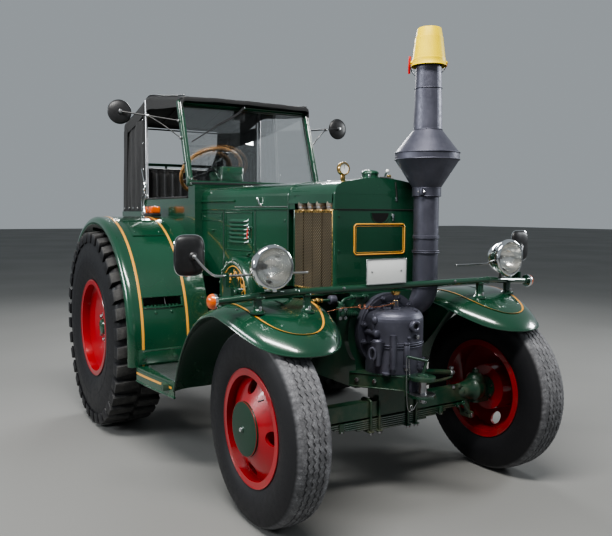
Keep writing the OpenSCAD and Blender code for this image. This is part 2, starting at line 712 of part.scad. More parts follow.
// Front coupling: two round plates on a plate, with a pull pin through them
jaw_x = 1632;
jaw_r = 66;
jaw_z = [[560, 574], [646, 658]];
jaw_pin_r = 13;
module front_coupling() color(green) {
    block([bracket_front + seat_gap, -58, 556], [bracket_front + 14, 58, 660]);
    for (z = jaw_z) {
        translate([jaw_x, 0, z[0]]) cylinder(r = jaw_r, h = z[1] - z[0]);
        block([bracket_front + seat_gap, -44, z[0]], [jaw_x, 44, z[1]]);
    }
    translate([jaw_x, 0, 545]) cylinder(r = jaw_pin_r, h = 120);
    bar([jaw_x, 0, 660], [jaw_x, 24, 736], 7);
    bar([jaw_x, 24, 736], [jaw_x, -100, 770], 7);
    translate([jaw_x, 24, 736]) sphere(r = 8.5);
}

drawbar_z = 560;
drawbar_end = -(front_x + front_tyre_r);
pin_bore_r = 16;
module drawbar() color(green) difference() {
    union() {
        block([-1560, -60, drawbar_z - 30], [rear_x - axle_half_l, 60, drawbar_z + 30]);
        for (z = [drawbar_z - 60, drawbar_z + 30]) block([drawbar_end, -50, z], [-1500, 50, z + 30]);
    }
    translate([drawbar_end + 60, 0, drawbar_z - 80]) cylinder(r = pin_bore_r, h = 180);
}

// Steering knuckles: a fork on the kingpin, a stub axle and a steering arm
fork_gap = 2;
module knuckle() color(green) translate([front_x, kingpin_y, 0]) {
    translate([0, 0, beam_z[0] - 30]) cylinder(r = kingpin_r, h = beam_z[1] - beam_z[0] + 60);
    for (z = [beam_z[0] - 30, beam_z[1] + fork_gap]) {
        translate([0, 0, z]) cylinder(r = eye_r, h = 28);
        block([-30, 0, z], [30, 76, z + 28]);
    }
    block([-30, 46, beam_z[0] - 30], [30, 76, beam_z[1] + 30]);
    translate([0, 0, beam_z[1] + fork_gap]) rotate_extrude()
        polygon(concat([[0, 0], [52, 0]], arc([0, 8], 52, 0, 90, 8)));
    translate([0, 76, front_tyre_r]) rotate([-90, 0, 0]) cylinder(r = stub_r, h = 118);
    translate([-steer_arm, -30, beam_z[0] - 30]) cylinder(r = 26, h = 20);
    translate([0, 0, beam_z[0] - 30]) linear_extrude(20)
        polygon([[-10, 20], [-10, -20], [-steer_arm, -48], [-steer_arm, -12]]);
}
module knuckle_right() on_side(RIGHT) knuckle();
module knuckle_left() on_side(LEFT) knuckle();

rod_y = kingpin_y - 30;
module track_rod() color(green) translate([front_x - steer_arm, 0, 0]) {
    z = beam_z[0] - 10 + seat_gap;
    both_sides() translate([0, rod_y, z]) cylinder(r = 26, h = 22);
    translate([0, 0, z + 11]) rotate([90, 0, 0]) cylinder(r = 11, h = 2 * rod_y - 20, center = true);
}

// Wheels and tyres, as radius and place from the middle of the tyre

// Rim with flanges, wheel disc and hub; hub_in and hub_out are its ends, cap_at closes its bore
module rim_profile(bead_r, rim_w, disc_in, disc_out, hub_r, hub_in, hub_out, bore_r, cap_at) {
    half = rim_w / 2;
    translate([bead_r - rim_t, -half]) square([rim_t, rim_w]);
    for (h = [-half, half - rim_t]) translate([bead_r - rim_t, h]) square([rim_t + flange_h, rim_t]);
    polygon([[bead_r - rim_t / 2, disc_out], [hub_r, disc_in], [hub_r - 10, disc_in],
             [hub_r - 10, disc_in - 2 * rim_t], [hub_r + 5, disc_in - 2 * rim_t],
             [bead_r - rim_t / 2, disc_out - 2 * rim_t]]);
    translate([bore_r, hub_in]) square([hub_r - bore_r, cap_at - hub_in]);
    in_r = cap_at < hub_out ? 0 : bore_r;
    translate([in_r, cap_at - 1]) square([hub_r - in_r, hub_out - cap_at + 1]);
}
// Tyre section from bead to bead over the tread
module tyre_profile(bead_r, r, rim_w, w, tread_w) {
    b = rim_w / 2 - rim_t;
    s = bead_r + flange_h + 4;
    polygon([[bead_r, -b], [s, -b], [s + (r - s) * 0.18, -w / 2 + 6], [s + (r - s) * 0.45, -w / 2],
             [r - (r - s) * 0.22, -w / 2 + 8], [r - 14, -tread_w / 2 - 4],
             [r - 3, -tread_w / 2 + 12], [r, 0],
             [r - 3, tread_w / 2 - 12], [r - 14, tread_w / 2 + 4], [r - (r - s) * 0.22, w / 2 - 8],
             [s + (r - s) * 0.45, w / 2], [s + (r - s) * 0.18, w / 2 - 6], [s, b], [bead_r, b]]);
}
module at_front_wheel(side)
    on_side(side) translate([front_x, front_half_track, front_tyre_r]) spin_y() children();
module at_rear_wheel(side)
    on_side(side) translate([rear_x, rear_half_track, rear_tyre_r]) spin_y() children();
// Four hand holes in the disc of a front wheel
hand_hole_n = 4;
hand_hole_at = 196;
hand_hole_r = 34;
module front_wheel(side) color(red) on_side(side)
    translate([front_x, front_half_track, front_tyre_r]) difference() {
    spin_y() rim_profile(front_bead_r, front_rim_w, 102, 40, 128, -34, 112, stub_r + bore_gap, 78);
    for (i = [0:hand_hole_n - 1]) rotate([0, i * 360 / hand_hole_n, 0]) translate([hand_hole_at, 0, 0])
        rotate([-90, 0, 0]) cylinder(r = hand_hole_r, h = 120);
}
module rear_wheel(side) color(red) at_rear_wheel(side)
    rim_profile(rear_bead_r, rear_rim_w, 40, 90, rear_hub_r, rear_hub_in - rear_half_track, 62,
                shaft_r + bore_gap, 62);
module front_tyre(side) color(rubber) at_front_wheel(side) difference() {
    tyre_profile(front_bead_r, front_tyre_r, front_rim_w, front_tyre_w, 160);
    for (h = [-42, -14, 14, 42]) translate([front_tyre_r - 9, h - 3]) square([12, 6]);
}
// Shoulder blocks of the rear tread, on both sides and half a pitch apart
lug_n = 34;
lug_h = 26;
lug_face = sqrt(pow(rear_tyre_r, 2) - pow(37, 2));
lug_plan = [[-26, 10], [34, 10], [70, 160], [-4, 160]];
module rear_tyre(side) color(rubber) {
    at_rear_wheel(side) tyre_profile(rear_bead_r, rear_tyre_r - lug_h, rear_rim_w, rear_tyre_w, 290);
    on_side(side) translate([rear_x, rear_half_track, rear_tyre_r]) rotate([-90, 0, 0])
        for (i = [0:lug_n - 1]) for (half = [0, 1]) rotate([0, 0, (i + half / 2) * 360 / lug_n])
            mirror([0, 0, half]) translate([lug_face - 66, 0, 0]) rotate([90, 0, 90])
                linear_extrude(66) translate([-33, 0]) polygon(lug_plan);
}
module front_wheel_right() front_wheel(RIGHT);
module front_wheel_left() front_wheel(LEFT);
module front_tyre_right() front_tyre(RIGHT);
module front_tyre_left() front_tyre(LEFT);
module rear_wheel_right() rear_wheel(RIGHT);
module rear_wheel_left() rear_wheel(LEFT);
module rear_tyre_right() rear_tyre(RIGHT);
module rear_tyre_left() rear_tyre(LEFT);

engine_block();
gearbox();
rear_axle();
cylinder_head();
exhaust_stack();
rain_pail();
front_panel();
fuel_tank();
hood();
radiators();
flywheel_cases();
tank_fittings();
cab_tub();
windscreen_frame();
windscreen_glass();
top_mirrors();
soft_top();
top_bows();
seat_box();
seat_cushion();
seat_back();
steering_column();
hand_levers();
lamp_bar();
headlamps();
amber_lamps();
tail_lamps();
bar_mirrors();
number_plate();
front_wing_right();
front_wing_left();
rear_mudguard_right();
rear_mudguard_left();
running_boards();
axle_bracket();
front_axle();
leaf_spring();
front_coupling();
drawbar();
steering_wheel();
knuckle_right();
knuckle_left();
track_rod();
front_wheel_right();
front_wheel_left();
front_tyre_right();
front_tyre_left();
rear_wheel_right();
rear_wheel_left();
rear_tyre_right();
rear_tyre_left();
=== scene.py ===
# %% [markdown]
# # A vintage road tractor, dressed over its solids
# The solids of the tractor come from its construction file, already packed, and stand in a fixed
# frame: X runs forward, Y to the driver's left, Z up, in metres, with the origin on the ground. This
# lesson leaves their places alone. It gives every solid a finish, and stands a more detailed piece
# over those whose real skin is curved, padded or full of small parts. Each code cell below makes one
# thing and says what it made.

# %% Load the solids
import math
import bmesh
import bpy
from mathutils import Matrix, Vector
from mathutils.noise import noise


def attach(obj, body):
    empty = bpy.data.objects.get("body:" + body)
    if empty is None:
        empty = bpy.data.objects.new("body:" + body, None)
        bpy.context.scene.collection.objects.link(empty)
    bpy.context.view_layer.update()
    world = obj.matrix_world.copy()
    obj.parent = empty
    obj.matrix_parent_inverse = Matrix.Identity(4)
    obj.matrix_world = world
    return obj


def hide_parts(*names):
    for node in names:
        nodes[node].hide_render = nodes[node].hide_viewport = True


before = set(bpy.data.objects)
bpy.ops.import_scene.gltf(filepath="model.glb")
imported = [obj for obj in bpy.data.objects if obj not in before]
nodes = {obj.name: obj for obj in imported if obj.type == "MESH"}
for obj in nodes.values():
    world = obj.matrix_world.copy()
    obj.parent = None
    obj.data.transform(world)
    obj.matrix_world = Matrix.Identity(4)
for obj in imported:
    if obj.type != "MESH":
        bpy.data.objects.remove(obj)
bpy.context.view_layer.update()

# %% [markdown]
# ## The camera
# The camera stands ahead of the tractor's right front wheel, a little above a person's chest. Its
# place was worked out from the wheels and lamps, which are pairs of known size, so it is written here
# as plain numbers.

# %% Place the camera
FOCAL_PX, WIDTH_PX, SENSOR_MM = 692.06, 612, 36
EYE = Vector((4.2061, -2.2439, 1.4622))
LOOK = Vector((-0.8515, 0.5185, -0.0788)).normalized()
ROLL = 0.0044
level = LOOK.cross(Vector((0, 0, 1))).normalized()
upright = level.cross(LOOK)
right = level * math.cos(ROLL) + upright * math.sin(ROLL)
camera_data = bpy.data.cameras.new("studio_camera")
camera_data.sensor_width = SENSOR_MM
camera_data.lens = FOCAL_PX / WIDTH_PX * SENSOR_MM
camera = bpy.data.objects.new("studio_camera", camera_data)
turned_to = Matrix((right, right.cross(LOOK), -LOOK)).transposed().to_4x4()
camera.matrix_world = Matrix.Translation(EYE) @ turned_to
bpy.context.scene.collection.objects.link(camera)
bpy.context.scene.camera = camera
print("lens", round(camera_data.lens, 2), "mm")

# %% [markdown]
# ## The studio
# Gloss paint shows its shape by what it mirrors, so the lights are four large soft panels: one high
# over the front, one along the right side, one ahead of the left front wheel and one behind. A plain
# grey floor runs far back. It is no paler than dry ground, so the low paint stays deep.

# %% Lay the floor and hang the lights
FLOOR_REACH = 60
SKY, SKY_STRENGTH = (0.80, 0.87, 0.92, 1), 0.36
floor_form = bmesh.new()
bmesh.ops.create_grid(floor_form, x_segments=1, y_segments=1, size=FLOOR_REACH)
floor_mesh = bpy.data.meshes.new("studio_floor")
floor_form.to_mesh(floor_mesh)
studio_floor = bpy.data.objects.new("studio_floor", floor_mesh)
bpy.context.scene.collection.objects.link(studio_floor)


def soft_panel(name, place, aim, width, height, power, tint=(1, 1, 1)):
    """A rectangular area light that stands at a place and shines at its aim."""
    data = bpy.data.lights.new(name, "AREA")
    data.shape = "RECTANGLE"
    data.size, data.size_y, data.energy, data.color = width, height, power, tint
    lamp = bpy.data.objects.new(name, data)
    lamp.location = place
    lamp.rotation_euler = (Vector(aim) - Vector(place)).to_track_quat("-Z", "Y").to_euler()
    bpy.context.scene.collection.objects.link(lamp)


soft_panel("panel_over_front", (3.0, -2.2, 6.0), (0.2, 0, 0.9), 4.4, 0.9, 560, (1, 0.98, 0.95))
soft_panel("panel_right_side", (-1.2, -7.0, 3.4), (0, 0, 0.9), 4.5, 1.0, 320, (0.95, 0.98, 1))
soft_panel("panel_left_front", (2.6, 6.6, 3.4), (0.6, 0, 0.8), 1.8, 1.6, 260, (0.95, 0.98, 1))
soft_panel("panel_behind", (-5.0, 2.4, 4.2), (-0.4, 0, 1.4), 3.4, 0.5, 230)
world = bpy.data.worlds.new("studio_air")
bpy.context.scene.world = world
bpy.context.scene.view_settings.look = "AgX - Medium High Contrast"
world.use_nodes = True
air = world.node_tree.nodes["Background"].inputs
air["Color"].default_value, air["Strength"].default_value = SKY, SKY_STRENGTH
print("lights", [lamp.name for lamp in bpy.data.lights])

# %% [markdown]
# ## Writing finishes as sums
# A finish is a graph of nodes. It reads more easily as a sum, so a small class wraps a socket and
# lets Python's own signs add the Math nodes. Any other node comes from one method, which takes its
# type, settings and inputs.


# %% The finish class
class Value:
    """A number that varies over a surface, as one output socket of a node."""

    def __init__(self, finish, socket):
        self.finish, self.socket = finish, socket

    def _math(self, operation, *terms):
        return self.finish.node("ShaderNodeMath", {"operation": operation}, dict(enumerate(terms)))

    def __add__(self, other): return self._math("ADD", self, other)
    def __radd__(self, other): return self._math("ADD", other, self)
    def __sub__(self, other): return self._math("SUBTRACT", self, other)
    def __rsub__(self, other): return self._math("SUBTRACT", other, self)
    def __mul__(self, other): return self._math("MULTIPLY", self, other)
    def __gt__(self, other): return self._math("GREATER_THAN", self, other)
    def __abs__(self): return self._math("ABSOLUTE", self)
    def least(self, other): return self._math("MINIMUM", self, other)
    def root(self): return self._math("SQRT", self)
    def wave(self): return self._math("SINE", self)

    def ramp(self, low, high):
        """0 below low, 1 above high, smooth between."""
        return self.finish.node("ShaderNodeMapRange", {"interpolation_type": "SMOOTHSTEP"},
                                {"Value": self, "From Min": low, "From Max": high})


class Finish:
    """One material: its nodes, and the Principled shader that they feed."""

    def __init__(self, name, **constants):
        self.material = bpy.data.materials.new(name)
        self.material.use_nodes = True
        self.tree = self.material.node_tree
        self.tree.nodes.clear()
        out = self.tree.nodes.new("ShaderNodeOutputMaterial")
        self.shader = self.tree.nodes.new("ShaderNodeBsdfPrincipled")
        self.tree.links.new(self.shader.outputs[0], out.inputs["Surface"])
        for key, value in constants.items():
            self.shader.inputs[key.replace("_", " ").title().replace("Ior",
                    "IOR")].default_value = value
        self.place = self.node("ShaderNodeTexCoord", {}, {}, "Object")

    def node(self, kind, settings, values, output=0):
        """Adds a node, sets it, joins its inputs, and gives back one of its outputs."""
        made = self.tree.nodes.new(kind)
        for key, value in settings.items():
            setattr(made, key, value)
        for key, value in values.items():
            if isinstance(value, Value):
                self.tree.links.new(value.socket, made.inputs[key])
            else:
                made.inputs[key].default_value = value
        return Value(self, made.outputs[output])

    def axes(self):
        """X, Y and Z in metres, as the tractor stands."""
        split = self.node("ShaderNodeSeparateXYZ", {}, {"Vector": self.place})
        return [Value(self, s) for s in split.socket.node.outputs]

    def cloud(self, scale, detail=3, stretch=None, rough=0.5):
        """Soft noise with about scale clouds in a metre."""
        at = self.place
        if stretch:
            at = self.node("ShaderNodeMapping", {}, {"Vector": at, "Scale": stretch})
        return self.node("ShaderNodeTexNoise", {},
                         {"Vector": at, "Scale": scale, "Detail": detail, "Roughness": rough})

    def cracks(self, scale, width):
        """0 on the lines between cells, 1 away from them."""
        cells = self.node("ShaderNodeTexVoronoi", {"feature": "DISTANCE_TO_EDGE"},
                          {"Vector": self.place, "Scale": scale, "Randomness": 1.0}, "Distance")
        return cells.ramp(0.0, width)

    def between(self, share, low, high):
        """A colour that goes from low to high as share goes from 0 to 1."""
        factor, first, second, result = 0, 6, 7, 2
        colours = {slot: colour if isinstance(colour, Value) else (*colour, 1)
                   for slot, colour in ((first, low), (second, high))}
        return self.node("ShaderNodeMix", {"data_type": "RGBA"}, {factor: share, **colours}, result)

    def feed(self, socket, value):
        """Leads a value into one input of the shader."""
        self.tree.links.new(value.socket, self.shader.inputs[socket])

    def relief(self, height, depth, strength=1.0):
        """Bumps of at most depth metres, which only turn the normal."""
        bump = self.node("ShaderNodeBump", {}, {"Height": height, "Distance": depth,
                                                "Strength": strength})
        self.feed("Normal", bump)


def dress(finish, *names):
    """Gives a finish to solids that show as they are."""
    for name in names:
        nodes[name].data.materials.clear()
        nodes[name].data.materials.append(finish.material)


# %% [markdown]
# ## The paints and metals
# The tractor wears a dark bluish green gloss enamel, brushed on and polished many times, so it has a
# clear coat with a faint orange peel, and its colour shifts a little from panel to panel. Dust
# gathers low down. Castings that run hot are coated with graphite instead, which is grey, slightly
# metallic and rough like fine sand.

# %% Floor finish
pale_floor = Finish("pale_floor", roughness=0.75, specular_ior_level=0.2)
drift = pale_floor.cloud(0.35, 2).ramp(0.3, 0.7)
pale_floor.feed("Base Color", pale_floor.between(drift, (0.185, 0.185, 0.178), (0.215, 0.215, 0.208)))
studio_floor.data.materials.append(pale_floor.material)


# %% Gloss enamel, in three colours
def enamel(name, deep, bright, dust=0.25, coat=1.0, rough=0.28):
    """Gloss paint from deep to bright over a panel, with low dust and a faint orange peel."""
    paint = Finish(name, coat_roughness=0.06, ior=1.5, coat_weight=coat)
    x, y, z = paint.axes()
    patches = paint.cloud(1.7, 4).ramp(0.32, 0.7)
    specks = paint.cloud(38, 5, rough=0.7).ramp(0.56, 0.8)
    low = 1 - z.ramp(0.2, 0.95)
    dirt = (low * paint.cloud(6, 6, rough=0.65).ramp(0.42, 0.75) * dust).least(1)
    colour = paint.between(patches, deep, bright)
    colour = paint.between(dirt, colour, (0.16, 0.13, 0.09))
    paint.feed("Base Color", colour)
    paint.feed("Roughness", rough + specks * 0.06 + dirt * 0.5)
    paint.feed("Coat Weight", coat - (dirt * 0.8).least(coat))
    paint.relief(paint.cloud(160, 2), 0.0006, 0.35)
    return paint


green_enamel = enamel("green_enamel", (0.0045, 0.040, 0.019), (0.0075, 0.058, 0.029), rough=0.24)
# a darker, dustier copy of the green for the low parts and those under the body: the darker base is
# painted shade, the extra dust is real
green_dusty_shaded = enamel("green_dusty_shaded_enamel", (0.0040, 0.034, 0.017), (0.0070, 0.048, 0.025), dust=0.8,
                   coat=0.7, rough=0.36)
red_enamel = enamel("red_enamel", (0.24, 0.0010, 0.0050), (0.34, 0.0016, 0.0075), dust=0.2, coat=0.6)
# a darker copy of the green enamel for the front hub covers: painted shade
hub_green_shaded = enamel("hub_green_shaded", (0.0030, 0.026, 0.012), (0.0040, 0.034, 0.017), dust=0.0, coat=0.2,
                   rough=0.42)
hub_green_shaded.slot = "green_paint"
gold_line = enamel("gold_line", (0.62, 0.27, 0.035), (0.75, 0.36, 0.06), dust=0.0, coat=0.8)
white_enamel = enamel("white_enamel", (0.70, 0.71, 0.70), (0.78, 0.79, 0.78), dust=0.05)
dress(green_enamel, "front_panel", "fuel_tank", "hood", "flywheel_cases", "cab_tub", "windscreen_frame",
      "seat_box", "steering_column", "lamp_bar", "front_wing_right", "front_wing_left",
      "rear_mudguard_right", "rear_mudguard_left", "running_boards", "tank_fittings")
dress(green_dusty_shaded, "engine_block", "gearbox", "rear_axle", "axle_bracket", "front_axle", "leaf_spring",
      "front_coupling", "drawbar", "knuckle_right", "knuckle_left", "track_rod")
dress(red_enamel, "front_wheel_right", "front_wheel_left", "rear_wheel_right", "rear_wheel_left")
dress(white_enamel, "number_plate")

# %% Graphite coat for the hot castings
graphite = Finish("graphite_coat", metallic=0.55, ior=1.45)
burnt = graphite.cloud(4.5, 5, rough=0.6).ramp(0.35, 0.75)
graphite.feed("Base Color", graphite.between(burnt, (0.078, 0.079, 0.102), (0.128, 0.129, 0.162)))
graphite.feed("Roughness", 0.40 + graphite.cloud(60, 4).ramp(0.3, 0.8) * 0.16)
graphite.relief(graphite.cloud(420, 3) * 0.6 + graphite.cloud(70, 3) * 0.5, 0.0009, 0.5)
dress(graphite, "exhaust_stack", "cylinder_head")

# %% Rubber, worn and dusty
rubber = Finish("tyre_rubber", ior=1.4)
scuff = rubber.cloud(14, 6, rough=0.7).ramp(0.45, 0.75)
rubber.feed("Base Color", rubber.between(scuff * 0.6, (0.020, 0.020, 0.021), (0.075, 0.068, 0.060)))
rubber.feed("Roughness", 0.62 + scuff * 0.25)
rubber.relief(rubber.cloud(240, 3), 0.0006, 0.5)
dress(rubber, "front_tyre_right", "front_tyre_left", "rear_tyre_right", "rear_tyre_left")


# %% Plating, steel, brass and copper
def metal(name, low, high, rough=0.2, wear=0.15, grain=90):
    """Bare or plated metal whose tone and gloss wander a little."""
    bare = Finish(name, metallic=1.0)
    tone = bare.cloud(9, 4).ramp(0.3, 0.7)
    bare.feed("Base Color", bare.between(tone, low, high))
    bare.feed("Roughness", rough + bare.cloud(grain, 4, rough=0.6).ramp(0.4, 0.8) * wear)
    return bare


chrome = metal("chrome_plate", (0.72, 0.73, 0.75), (0.84, 0.85, 0.86), 0.06, 0.08)
steel = metal("bare_steel", (0.34, 0.34, 0.35), (0.48, 0.48, 0.49), 0.28, 0.2)
brass = metal("old_brass", (0.52, 0.33, 0.12), (0.66, 0.46, 0.20), 0.22, 0.25)
copper = metal("copper_pipe", (0.62, 0.24, 0.14), (0.80, 0.38, 0.24), 0.2, 0.2)
lamp_mirror = metal("lamp_mirror", (0.86, 0.86, 0.83), (0.93, 0.92, 0.89), 0.17, 0.05)
lamp_mirror.slot = "mirror_glass"
mirror_glass = metal("mirror_glass", (0.80, 0.82, 0.84), (0.84, 0.86, 0.88), 0.02, 0.01)
dress(chrome, "headlamps")
dress(steel, "hand_levers", "top_bows")


# %% Plastics and lenses
def plastic(name, low, high, rough=0.4, coat=0.0, grain=260):
    """Moulded plastic or rubber, with a fine grain."""
    moulded = Finish(name, coat_weight=coat, coat_roughness=0.1)
    tone = moulded.cloud(12, 3).ramp(0.3, 0.7)
    moulded.feed("Base Color", moulded.between(tone, low, high))
    moulded.feed("Roughness", rough + moulded.cloud(50, 3).ramp(0.4, 0.8) * 0.12)
    moulded.relief(moulded.cloud(grain, 2), 0.0003, 0.4)
    return moulded


black_plastic = plastic("black_plastic", (0.012, 0.012, 0.013), (0.022, 0.022, 0.024), 0.38)
# near-black and matt: painted shade, for the grip recess and the gap along the front panel's top
painted_shade_black = plastic("painted_shade_black", (0.002, 0.002, 0.002), (0.004, 0.004, 0.004), 0.85)
painted_shade_black.slot = "black_plastic"
bucket_yellow = plastic("bucket_yellow", (0.78, 0.56, 0.0004), (0.86, 0.63, 0.001), 0.45)
handle_red = plastic("handle_red", (0.50, 0.010, 0.012), (0.60, 0.02, 0.02), 0.34)
amber_lens = plastic("amber_lens", (0.56, 0.085, 0.004), (0.66, 0.13, 0.008), 0.18, 0.8)
red_lens = plastic("red_lens", (0.38, 0.006, 0.006), (0.50, 0.01, 0.01), 0.18, 0.8)
dress(black_plastic, "top_mirrors", "bar_mirrors")
dress(bucket_yellow, "rain_pail")
dress(amber_lens, "amber_lamps")
dress(red_lens, "tail_lamps")

# %% Clear glass
clear_glass = Finish("clear_glass", base_color=(0.93, 0.97, 0.96, 1), roughness=0.02, ior=1.45,
                     transmission_weight=1.0)
clear_glass.feed("Alpha", 0.30 + clear_glass.cloud(3, 2).ramp(0.3, 0.8) * 0.06)
dress(clear_glass, "windscreen_glass")

# %% Cloth, leather and wood
WEAVE_WAVES = 2600
black_cloth = Finish("top_cloth", sheen_weight=0.08)
cx, cy, cz = black_cloth.axes()
weave = (cx * WEAVE_WAVES).wave() * (cz * WEAVE_WAVES + cy * WEAVE_WAVES).wave()
faded = black_cloth.cloud(2.2, 5, rough=0.6).ramp(0.35, 0.75)
black_cloth.feed("Base Color", black_cloth.between(faded, (0.0055, 0.0055, 0.0062),
                                                   (0.012, 0.012, 0.0135)))
black_cloth.feed("Roughness", 0.66 + faded * 0.16)
black_cloth.relief(weave * 0.5 + black_cloth.cloud(30, 4) * 0.8, 0.0006, 0.4)
dress(black_cloth, "soft_top")

leather = Finish("pleated_leather", coat_weight=0.15, coat_roughness=0.3)
creases = leather.cracks(150, 0.12)
leather_tone = leather.cloud(7, 4).ramp(0.3, 0.7)
leather.feed("Base Color", leather.between(leather_tone, (0.010, 0.010, 0.011), (0.026, 0.025, 0.025)))
leather.feed("Roughness", 0.36 + leather.cloud(20, 4).ramp(0.3, 0.8) * 0.2)
leather.relief(creases, 0.0007, 0.45)
dress(leather, "seat_cushion", "seat_back")

rim_wood = Finish("varnished_rim", coat_weight=0.8, coat_roughness=0.1)
wood_grain = rim_wood.cloud(16, 6, (1, 1, 5), 0.6).ramp(0.35, 0.7)
rim_wood.feed("Base Color", rim_wood.between(wood_grain, (0.30, 0.15, 0.055), (0.50, 0.30, 0.13)))
rim_wood.feed("Roughness", 0.3 + wood_grain * 0.15)
dress(rim_wood, "steering_wheel")

radiator_bronze = metal("radiator_bronze", (0.13, 0.085, 0.055), (0.22, 0.15, 0.10), 0.45, 0.25)
dress(radiator_bronze, "radiators")
print("finishes", len(bpy.data.materials))

# %% [markdown]
# ## Shaping a piece
# Most pieces are a few simple shapes set together: blocks with eased edges, turned parts, bars and
# tubes. A small class keeps one bmesh for a piece and adds such shapes with bmesh operators, each
# with its own finish. Because every shape is made where the tractor has it, the finished object stays
# at the origin.


# %% Small helpers
def cosd(degrees):
    return math.cos(math.radians(degrees))


def sind(degrees):
    return math.sin(math.radians(degrees))


def steps_between(low, high, count):
    """Evenly spaced values, both ends included."""
    return [low + (high - low) * i / (count - 1) for i in range(count)]


def circle(centre, radius, plane, degrees):
    """Points on a circle round a centre, in the plane XY or XZ, at the given angles."""
    second = 1 if plane == "XY" else 2
    points = []
    for angle in degrees:
        point = Vector(centre)
        point.x += radius * cosd(angle)
        point[second] += radius * sind(angle)
        points.append(point)
    return points


def bead(radius, place, size):
    """The section of a round bead on a turned part, as a closed profile of (radius, place) pairs."""
    return [(radius + size * math.cos(a), place + size * math.sin(a))
            for a in steps_between(0, 2 * math.pi, 9)]


def welded(made, distance=1e-5):
    """Joins points that fall together, and turns the faces outward."""
    bmesh.ops.remove_doubles(made, verts=made.verts, dist=distance)
    bmesh.ops.recalc_face_normals(made, faces=made.faces)
    return made


def facing(made, axis, sign=1):
    """Turns all faces over if, taken together, they look away from the signed axis."""
    made.normal_update()
    if sum(face.normal[axis] * face.calc_area() for face in made.faces) * sign < 0:
        bmesh.ops.reverse_faces(made, faces=made.faces)
    return made


def swap_sides(made):
    """Moves a shape to the other side of the centre plane."""
    bmesh.ops.scale(made, vec=(1, -1, 1), verts=made.verts)
    bmesh.ops.reverse_faces(made, faces=made.faces)


def sides():
    """The two sides of the tractor, as a name and the sign of Y."""
    return (("right", -1), ("left", 1))


def moulded(across, along, shape):
    """A sheet of across by along cells, its points put where shape(u, v) says, u and v from 0 to 1."""
    made = bmesh.new()
    bmesh.ops.create_grid(made, x_segments=across, y_segments=along, size=0.5)
    for vert in made.verts:
        vert.co = shape(vert.co.x + 0.5, vert.co.y + 0.5)
    return made


def lattice(columns, rows, shape):
    """A sheet whose points are shape(column, row) for every value in two lists."""
    across, along = len(columns) - 1, len(rows) - 1
    return moulded(across, along, lambda u, v: shape(columns[round(u * across)],
                                                     rows[round(v * along)]))


def thick(made, depth, axis=None):
    """Gives a sheet its wall, on the side away from its faces, which an axis may turn its way first."""
    bmesh.ops.recalc_face_normals(made, faces=made.faces)
    if axis is not None:
        facing(made, axis)
    bmesh.ops.solidify(made, geom=made.faces[:], thickness=depth)
    return made


